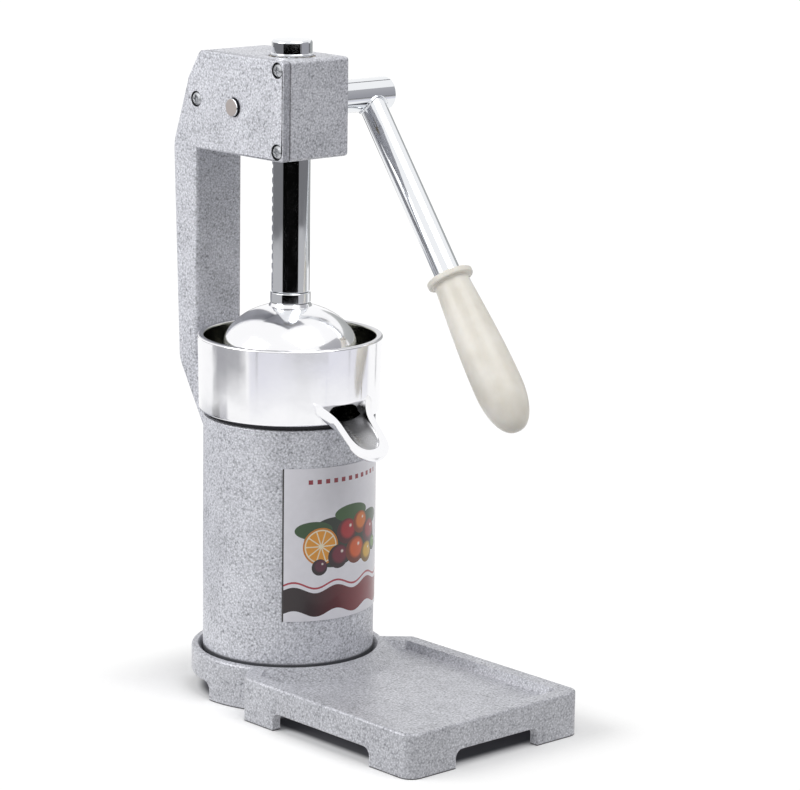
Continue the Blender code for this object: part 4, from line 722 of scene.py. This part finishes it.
ram_radius = (ram_high.x - ram_low.x) / 2
ram_spigot = ram_radius - 0.0045
ram_shoulder = collar_high.z + touch_gap
bar = add_piece("ram_chromed", turned("ram", [
    (0, ram_low.z), (ram_spigot, ram_low.z), (ram_spigot, ram_shoulder),
    (ram_radius, ram_shoulder, 0.0006), (ram_radius, ram_high.z), (0, ram_high.z),
], upright), chrome, "ram", "chrome", "ram")
cap_low, cap_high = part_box("ram_cap")
shaft_low, shaft_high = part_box("crank_shaft")
shaft_axis = Vector((0, (shaft_low.y + shaft_high.y) / 2, (shaft_low.z + shaft_high.z) / 2))
module = 0.002
pitch = pi * module
pitch_line = ram_radius - 0.0051
tip_line, root_line = pitch_line + module, pitch_line - 1.25 * module
pressure = tan(radians(20))


def comb_cutter(name):
    """The milled flat and its tooth gaps: a zigzag line in the Y-Z plane, carried across the bar along X."""
    middle = shaft_axis.z + pitch * np.arange(-17, 2)
    half = pitch / 4 + 0.00015
    wide = half + (tip_line - pitch_line) * pressure
    narrow = half - (pitch_line - root_line) * pressure
    gap = np.array([(tip_line, -wide), (root_line, -narrow), (root_line, narrow), (tip_line, wide)])
    teeth = (gap + np.stack([0 * middle, middle], axis=-1)[:, None]).reshape(-1, 2)
    low, high, clear = teeth[0, 1], teeth[-1, 1], 0.02
    outline = np.vstack([teeth, [(tip_line, high + 0.001), (clear, high + 0.008), (clear, low - 0.008),
                                 (tip_line, low - 0.001)]])
    points = np.concatenate([np.column_stack([np.full(len(outline), x), outline + [[stand_axis.y, 0]]])
                             for x in (stand_axis.x - clear, stand_axis.x + clear)])
    count = len(outline)
    here = np.arange(count)
    after = np.roll(here, -1)
    sides = np.stack([here, after, after + count, here + count], axis=-1).tolist()
    mesh = bpy.data.meshes.new(name)
    mesh.from_pydata(points, [], [*sides, here.tolist(), (here + count)[::-1].tolist()])
    return loose(name, reworked(mesh, faces_outward))


smooth_edges(combined(bar, comb_cutter("rack"), "DIFFERENCE"))
cap_radius = (cap_high.x - cap_low.x) / 2
cap_foot = ram_high.z + 2 * touch_gap
cap_neck = cap_radius - 0.0006
cap_stud = 0.004
smooth_edges(add_piece("ram_cap_chromed", turned("ram_cap", [
    (0, cap_low.z), (cap_stud, cap_low.z), (cap_stud, cap_foot), (cap_radius, cap_foot, 0.0004),
    (cap_radius, cap_foot + 0.0014, 0.0004), (cap_neck, cap_foot + 0.0016, 0.0002),
    (cap_neck, cap_high.z, 0.0018), (0, cap_high.z),
], upright), chrome, "ram", "chrome", "ram_cap"))


# Crank shaft, pinion and lever
# A stepped chromed shaft carries the pinion in the gearbox. The lever is chromed steel tube,
# notched to fit the shaft's end and welded there before plating.

journal_radius, hub_seat_radius, shaft_radius = 0.006, 0.009, 0.0112
hub_start = cover_high.x + touch_gap
bush_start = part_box("shaft_bush")[0].x
sideways = Matrix.Translation(shaft_axis) @ Matrix.Rotation(pi / 2, 4, "Y")


def worn_and_shaded_chrome(name):
    """The shaft's chrome: its left end is ground to plain steel after plating and dull, and the side of the
    journal there is painted dark, a painted shade where it stands out of its hole."""
    material = chrome_plate(name)
    node, shader, source = reopened(material)
    facing, along = [node("SeparateXYZ", Vector=source[kind]).outputs["X"] for kind in ("Normal", "Object")]
    end = where(node, (facing, -0.9, -0.98))
    # Painted shade on the journal's side where it stands out of its hole.
    journal_shade = where(node, (along, cover_low.x + 1.0 * mm, cover_low.x), (facing, -0.5, -0.3))
    sheen = node("Mix", "FLOAT", node("Math", "MAXIMUM", end, journal_shade), feeding(shader, "Roughness"), 0.5)
    fill(shader, Base_Color=layered(node, "#e9ebee", ("#b4aca9", end), ("#2e2e33", journal_shade)), Roughness=sheen)
    return material


smooth_edges(add_piece("crank_shaft_chromed", turned("crank_shaft", [
    (0, shaft_low.x), (journal_radius, shaft_low.x, 0.0006), (journal_radius, hub_start),
    (hub_seat_radius, hub_start), (hub_seat_radius, bush_start), (shaft_radius, bush_start),
    (shaft_radius, shaft_high.x, 0.0008), (0, shaft_high.x),
], sideways), worn_and_shaded_chrome("chrome_plate_on_shaft"), "crank", "chrome", "crank_shaft"))
cast_piece("pinion_steel", zinc, "crank", "steel", "pinion", 0.1)
cast_piece("pinion_pin_steel", zinc, "crank", "steel", "pinion_pin", 0.1)

lean = radians(36.45)
lever_start = Vector((shaft_high.x - 0.0159, shaft_axis.y, shaft_axis.z))
lever_place = Matrix.Translation(lever_start) @ Matrix.Rotation(pi - lean, 4, "X")
lever_radius = 0.009
lever_bore = lever_radius - 0.002
lever_end = 0.2235


def notched_tube(name, around=128):
    """The tube from the notch that fits the shaft to its far end: at angle t its start lies on the shaft's
    surface, sqrt(R^2 - (r sin t)^2) from its axis, because the tube leans in the shaft's own cross plane."""
    angles = np.linspace(0, 2 * pi, around, endpoint=False)

    def ring(radius, height=None):
        """A circle of the tube, at a height or where it meets the shaft."""
        if height is None:
            height = np.sqrt((shaft_radius + 0.0001) ** 2 - (radius * np.sin(angles)) ** 2)
        return polar(radius, height, angles)

    rows = np.stack([ring(lever_bore), ring(lever_radius), ring(lever_radius, lever_end),
                     ring(lever_bore, lever_end), ring(lever_bore)])
    return closed_mesh(name, placed(rows, lever_place))


def weld_bead(name, around=160, section=12):
    """A ring of weld: a small circle carried along the line where the tube's surface meets the shaft's,
    pushed out a little along both surfaces, with low ripples from the torch."""
    t = np.linspace(0, 2 * pi, around, endpoint=False)
    path = polar(lever_radius, np.sqrt(shaft_radius ** 2 - (lever_radius * np.sin(t)) ** 2), t)
    outward = polar(1, 0, t)
    upward = np.stack([0 * t, path[:, 1], path[:, 2]], axis=-1) / shaft_radius
    size = (0.0013 + 0.0001 * np.sin(26 * t))[:, None, None]
    turns = np.linspace(0, 2 * pi, section, endpoint=False)[None, :, None]
    rows = path[:, None] + size * (outward[:, None] * np.cos(turns) + upward[:, None] * np.sin(turns))
    return closed_mesh(name, placed(np.concatenate([rows, rows[:1]]), lever_place))


lever = add_piece("lever_tube_chromed", notched_tube("lever_tube"), chrome, "crank", "chrome", "lever_tube")
smooth_edges(combined(lever, loose("weld", weld_bead("weld")), "UNION"), radians(40))


# Grip
# Ivory plastic, injection moulded round a bore that presses onto the lever tube. It has a small
# flange, a narrow neck and a swelling that fits the palm, and is slightly waxy.

def moulded_ivory(name):
    """Aged ivory plastic: warm white with faint clouding and a soft, slightly uneven gloss."""
    material, node, shader, place = new_material(name)
    cloud = node("TexNoise", Vector=place, Scale=per_mm(18), Detail=3.0)
    skin = node("TexNoise", Vector=place, Scale=per_mm(0.9))
    colour = node("ValToRGB", {"steps": [(0.3, "#e2ddd2"), (0.55, "#ebe7de"), (0.75, "#f1eee7")]}, cloud)
    relief = node("Bump", Strength=0.15, Distance=0.05 * mm, Height=skin)
    fill(shader, Base_Color=colour, Roughness=node("MapRange", "LINEAR", cloud, 0.3, 0.7, 0.32, 0.42),
         Normal=relief, Subsurface_Weight=0.12, Subsurface_Radius=(0.004, 0.003, 0.002), Subsurface_Scale=1.0)
    return material


grip_start = 0.1395
grip_end = 0.2555
bore = lever_radius + touch_gap
bore_end = grip_start + 0.086
neck = bore + 0.0029
swell = 0.0041
flange = neck + 0.0037
flange_thickness = 0.0045
flange_end = grip_start + flange_thickness
neck_start = grip_start + flange_thickness * 1.6
body_length = grip_end - neck_start
share = np.linspace(0, 1, 36)
swelling = np.stack([neck + swell * np.sin(pi / 2 * share) ** 1.15,
                     neck_start + body_length * 0.7 * share], axis=-1)
round_start = swelling[-1, 1]
rounding = np.linspace(0, pi / 2, 30)
nose = np.stack([(neck + swell) * np.clip(np.cos(rounding), 0, 1) ** 0.85,
                 round_start + (grip_end - round_start) * np.sin(rounding)], axis=-1)
grip_profile = np.vstack([
    [[0, bore_end], [bore, bore_end]],
    rounded_profile([(bore, grip_start), (flange, grip_start, 0.0013), (flange, flange_end, 0.0013),
                     (neck, flange_end, 0.0016), (neck, neck_start + 0.002)]),
    swelling[4:], nose[1:],
])
grip_profile[-1, 0] = 0
smooth_edges(add_piece("grip_ivory", turned("grip", grip_profile, lever_place),
                       moulded_ivory("moulded_ivory_plastic"), "crank", "ivory", "grip"), radians(30))


# Studio: floor, mirror cards, lamps and camera
# A white sweep under the object, and large soft lamps from the left and from above. Glowing cards that only
#  mirrors see paint the black and grey stripes that the polished metal shows: painted reflections.

def stage_plane(name, corners, material):
    """A flat four-cornered sheet that isn't part of the object."""
    mesh = bpy.data.meshes.new(name)
    mesh.from_pydata(corners, [], [(0, 1, 2, 3)])
    mesh.materials.append(material)
    sheet = loose(name, mesh)
    return sheet


def white_ground():
    """Matt white paper with a painted shadow, grey, where the press stands on it. Close to the object it is
    lit and takes its shadow; further off, eye and mirrors see plain white. Light that bounces off it is that
    of a greyer table."""
    material, node, shown, place = new_material("white_paper_sweep", "MixShader")
    x, y, _ = node("SeparateXYZ", Vector=place).outputs
    fibre = node("TexNoise", Vector=place, Scale=per_mm(3), Detail=3.0)
    paper = node("ValToRGB", {"steps": [(0.0, "#fbfbfb"), (1.0, "#ffffff")]}, fibre)
    table = node("ValToRGB", {"steps": [(0.0, "#bcbcbc"), (1.0, "#c4c4c4")]}, fibre)
    rays = node("LightPath").outputs
    looking = node("Math", "MAXIMUM", rays["Is Camera Ray"], rays["Is Glossy Ray"])

    def beyond(axis, middle, half_length):
        """How far a place lies outside a stretch of an axis."""
        off_middle = node("Math", "ABSOLUTE", node("Math", "SUBTRACT", axis, middle))
        return node("Math", "SUBTRACT", off_middle, half_length)

    # Painted shadow under the press's footprint: the paper is grey there.
    covered = node("Math", "MAXIMUM", where(node, (beyond(x, stand_axis.x, 0.06), 0.007, 0.0),
                                            (beyond(y, -0.072, 0.066), 0.008, 0.0)),
                   where(node, (node("VectorMath", "DISTANCE", place, stand_axis), 0.062, 0.054)))
    lit = node("BsdfPrincipled", Roughness=0.9, Specular_IOR_Level=0.0,
               Base_Color=layered(node, table, (paper, looking), ("#6e6e72", covered)))
    away = diagonal(node, node("Math", "MAXIMUM", beyond(x, -0.012, 0.07), 0.0),
                    node("Math", "MAXIMUM", beyond(y, -0.015, 0.13), 0.0))
    plain = node("Emission", Color="#ffffff", Strength=1.05)
    fill(shown, where(node, looking, (away, 0.0, 0.072)), lit, plain)
    return material


floor_half = 6.0
square = [(x * floor_half, y * floor_half) for x, y in ((-1, -1), (1, -1), (1, 1), (-1, 1))]
stage_plane("floor", [(x, y, 0) for x, y in square], white_ground())


def mirror_print():
    """Fields of grey and black by compass direction in degrees and distance from the object in metres. Up to
    near_end the bowl sees them, past it the ram and the cap, and behind the object the lever."""
    material, node, glow, place = new_material("printed_card", "Emission")
    x, y, _ = node("SeparateXYZ", Vector=place).outputs
    degrees = 180 / pi
    turn = node("Math", "MULTIPLY", node("Math", "ARCTAN2", x, node("Math", "MULTIPLY", y, -1.0)), degrees)
    rear = node("Math", "MULTIPLY", node("Math", "ARCTAN2", node("Math", "MULTIPLY", x, -1.0), y), degrees)
    wobble = node("TexNoise", Vector=place, Scale=per_mm(320), Detail=1.0)
    wavy = node("Math", "MULTIPLY_ADD", node("Math", "SUBTRACT", wobble, 0.5), 40.0, turn)
    far = node("VectorMath", "LENGTH", place)
    near_end = 1.30

    def between(value, low, high, soft):
        """1 between two numbers, with soft ends."""
        return where(node, (value, low - soft, low + soft), (value, high + soft, high - soft))

    beyond = where(node, (far, near_end - 0.01, near_end + 0.01))
    near_side = node("Math", "SUBTRACT", 1.0, beyond)
    near = where(node, (far, 0.93, 0.95), near_side)
    from_waist = node("Math", "DIVIDE", node("Math", "ABSOLUTE", node("Math", "SUBTRACT", far, 1.05)), 0.04)
    bell = node("Math", "EXPONENT", node("Math", "MULTIPLY", node("Math", "POWER", from_waist, 2.0), -1.0))
    pinch = node("Math", "MULTIPLY", bell, 9.0)
    hourglass = where(node, (node("Math", "SUBTRACT", turn, pinch), -153.0, -150.0),
                      (node("Math", "ADD", turn, pinch), -96.0, -99.0))
    wedge = where(node, (wavy, -50.0, -36.0), (node("Math", "MULTIPLY_ADD", pinch, 2.2, turn), 9.0, 5.0))
    field = layered(node, "#ffffff", ("#e2e2ea", (far, 0.80, 0.90), near_side, between(turn, -94, 75, 3)),
                    ("#a6a6aa", near, hourglass), ("#c0c0c3", near, wedge))
    for line, half in ((-84, 0.9), (38, 1.0), (96, 1.2)):
        field = layered(node, field, ("#9a9a9e", near, between(turn, line - half, line + half, 0.5)))
    not_rear = node("Math", "LESS_THAN", node("Math", "ABSOLUTE", turn), 175.0)
    field = layered(
        node, field,
        ("#bdbdbf", beyond, not_rear),
        ("#ffffff", beyond, between(turn, 78, 200, 2)),
        ("#4a4a4c", beyond, between(turn, 110, 166, 3)),
        ("#77777a", (far, 1.84, 1.88), node("Math", "LESS_THAN", turn, 92.0)),
        ("#060606", beyond, between(turn, -92, 6, 0.8)),
    )
    behind = where(node, (far, 0.30, 0.36), (far, 0.90, 0.84))
    for low, high, colour in ((-22, -10, "#2c2c30"), (-10, 26, "#b4b6bc"), (26, 42, "#34343a"),
                              (42, 54, "#b0b0b6")):
        field = layered(node, field, (colour, behind, between(rear, low, high, 2)))
    fill(glow, field, 1.05)
    return material


def grey_card_print(name, foot, head):
    """A glow of plain grey with a slightly paler top, for painted reflections."""
    material, node, glow, place = new_material(name, "Emission")
    height = node("SeparateXYZ", Vector=place).outputs["Z"]
    fill(glow, node("ValToRGB", {"steps": [(0.0, foot), (1.0, head)]}, where(node, (height, 0.0, 2.2))), 1.0)
    return material


# The cards glow and only glossy rays see them: painted reflections, not lamps.
for card_name, corners, card_material in (
    ("mirror_card", [(x, y, 0.0005) for x, y in square], mirror_print()),
    ("side_card", [(0.8, -2.9, 0.0), (2.8, -1.1, 0.0), (2.8, -1.1, 2.2), (0.8, -2.9, 2.2)],
     grey_card_print("grey_card", "#a2a2a8", "#b4b4b8")),
    ("right_card", [(1.6, 1.3, 0.0), (1.6, -0.15, 0.0), (1.6, -0.15, 0.95), (1.6, 1.3, 0.95)],
     grey_card_print("pale_grey_card", "#a8aaaa", "#d0d2d2")),
    ("boom_card", [(0.9, 0.50, 1.86), (2.0, 0.50, 1.86), (2.0, 0.72, 1.86), (0.9, 0.72, 1.86)],
     grey_card_print("dark_grey_card", "#6a6a6e", "#7a7a7e")),
):
    card_material.cycles.emission_sampling = "NONE"
    card = stage_plane(card_name, corners, card_material)
    for ray in ("camera", "diffuse", "shadow", "transmission"):
        setattr(card, "visible_" + ray, False)

world = bpy.data.worlds.new("studio")
bpy.context.scene.world = world
world.use_nodes = True
world.node_tree.nodes.clear()
sky_node = partial(add_node, world.node_tree)
rays = sky_node("LightPath").outputs
seen = sky_node("Math", "MAXIMUM", rays["Is Camera Ray"], rays["Is Glossy Ray"])
seen = sky_node("Math", "MAXIMUM", seen, rays["Is Transmission Ray"])
level = sky_node("MapRange", "LINEAR", seen, 0.0, 1.0, 0.40, 1.05)
sky_node("OutputWorld", Surface=sky_node("Background", None, "#ffffff", level))


def soft_lamp(name, place, aim, size, power):
    """A square softbox that points at a spot."""
    light = bpy.data.lights.new(name, "AREA")
    light.size = size
    light.energy = power
    lamp = loose(name, light)
    lamp.location = place
    lamp.rotation_mode = "QUATERNION"
    lamp.rotation_quaternion = (Vector(aim) - Vector(place)).to_track_quat("-Z", "Y")
    return lamp


soft_lamp("left_softbox", (-1.05, 0.4, 0.8), (0, 0, 0.3), 0.8, 7.1)
rear_lamp = soft_lamp("rear_left_softbox", (-0.9, 0.85, 0.35), (0, 0, 0.22), 0.5, 4.5)
rear_lamp.visible_glossy = False
soft_lamp("top_softbox", (0.1, -1.0, 2.1), (0, 0, 0.1), 1.6, 23.5)

view_data = bpy.data.cameras.new("photo_view")
view_data.lens = 148.94
view_data.sensor_width = 36.0
view_data.clip_end = 50
camera = loose("photo_view", view_data)
forward = Vector((0.6592, 0.7217, -0.2114)).normalized()
right = forward.cross(Vector((0, 0, 1))).normalized()
facing = Matrix((right, right.cross(forward), -forward)).transposed().to_4x4()
roll = Matrix.Rotation(radians(0.839), 4, "Z")
camera.matrix_world = Matrix.Translation((-1.4060, -1.57866, 0.6636)) @ facing @ roll
bpy.context.scene.camera = camera
bpy.context.scene.view_settings.view_transform = "Standard"
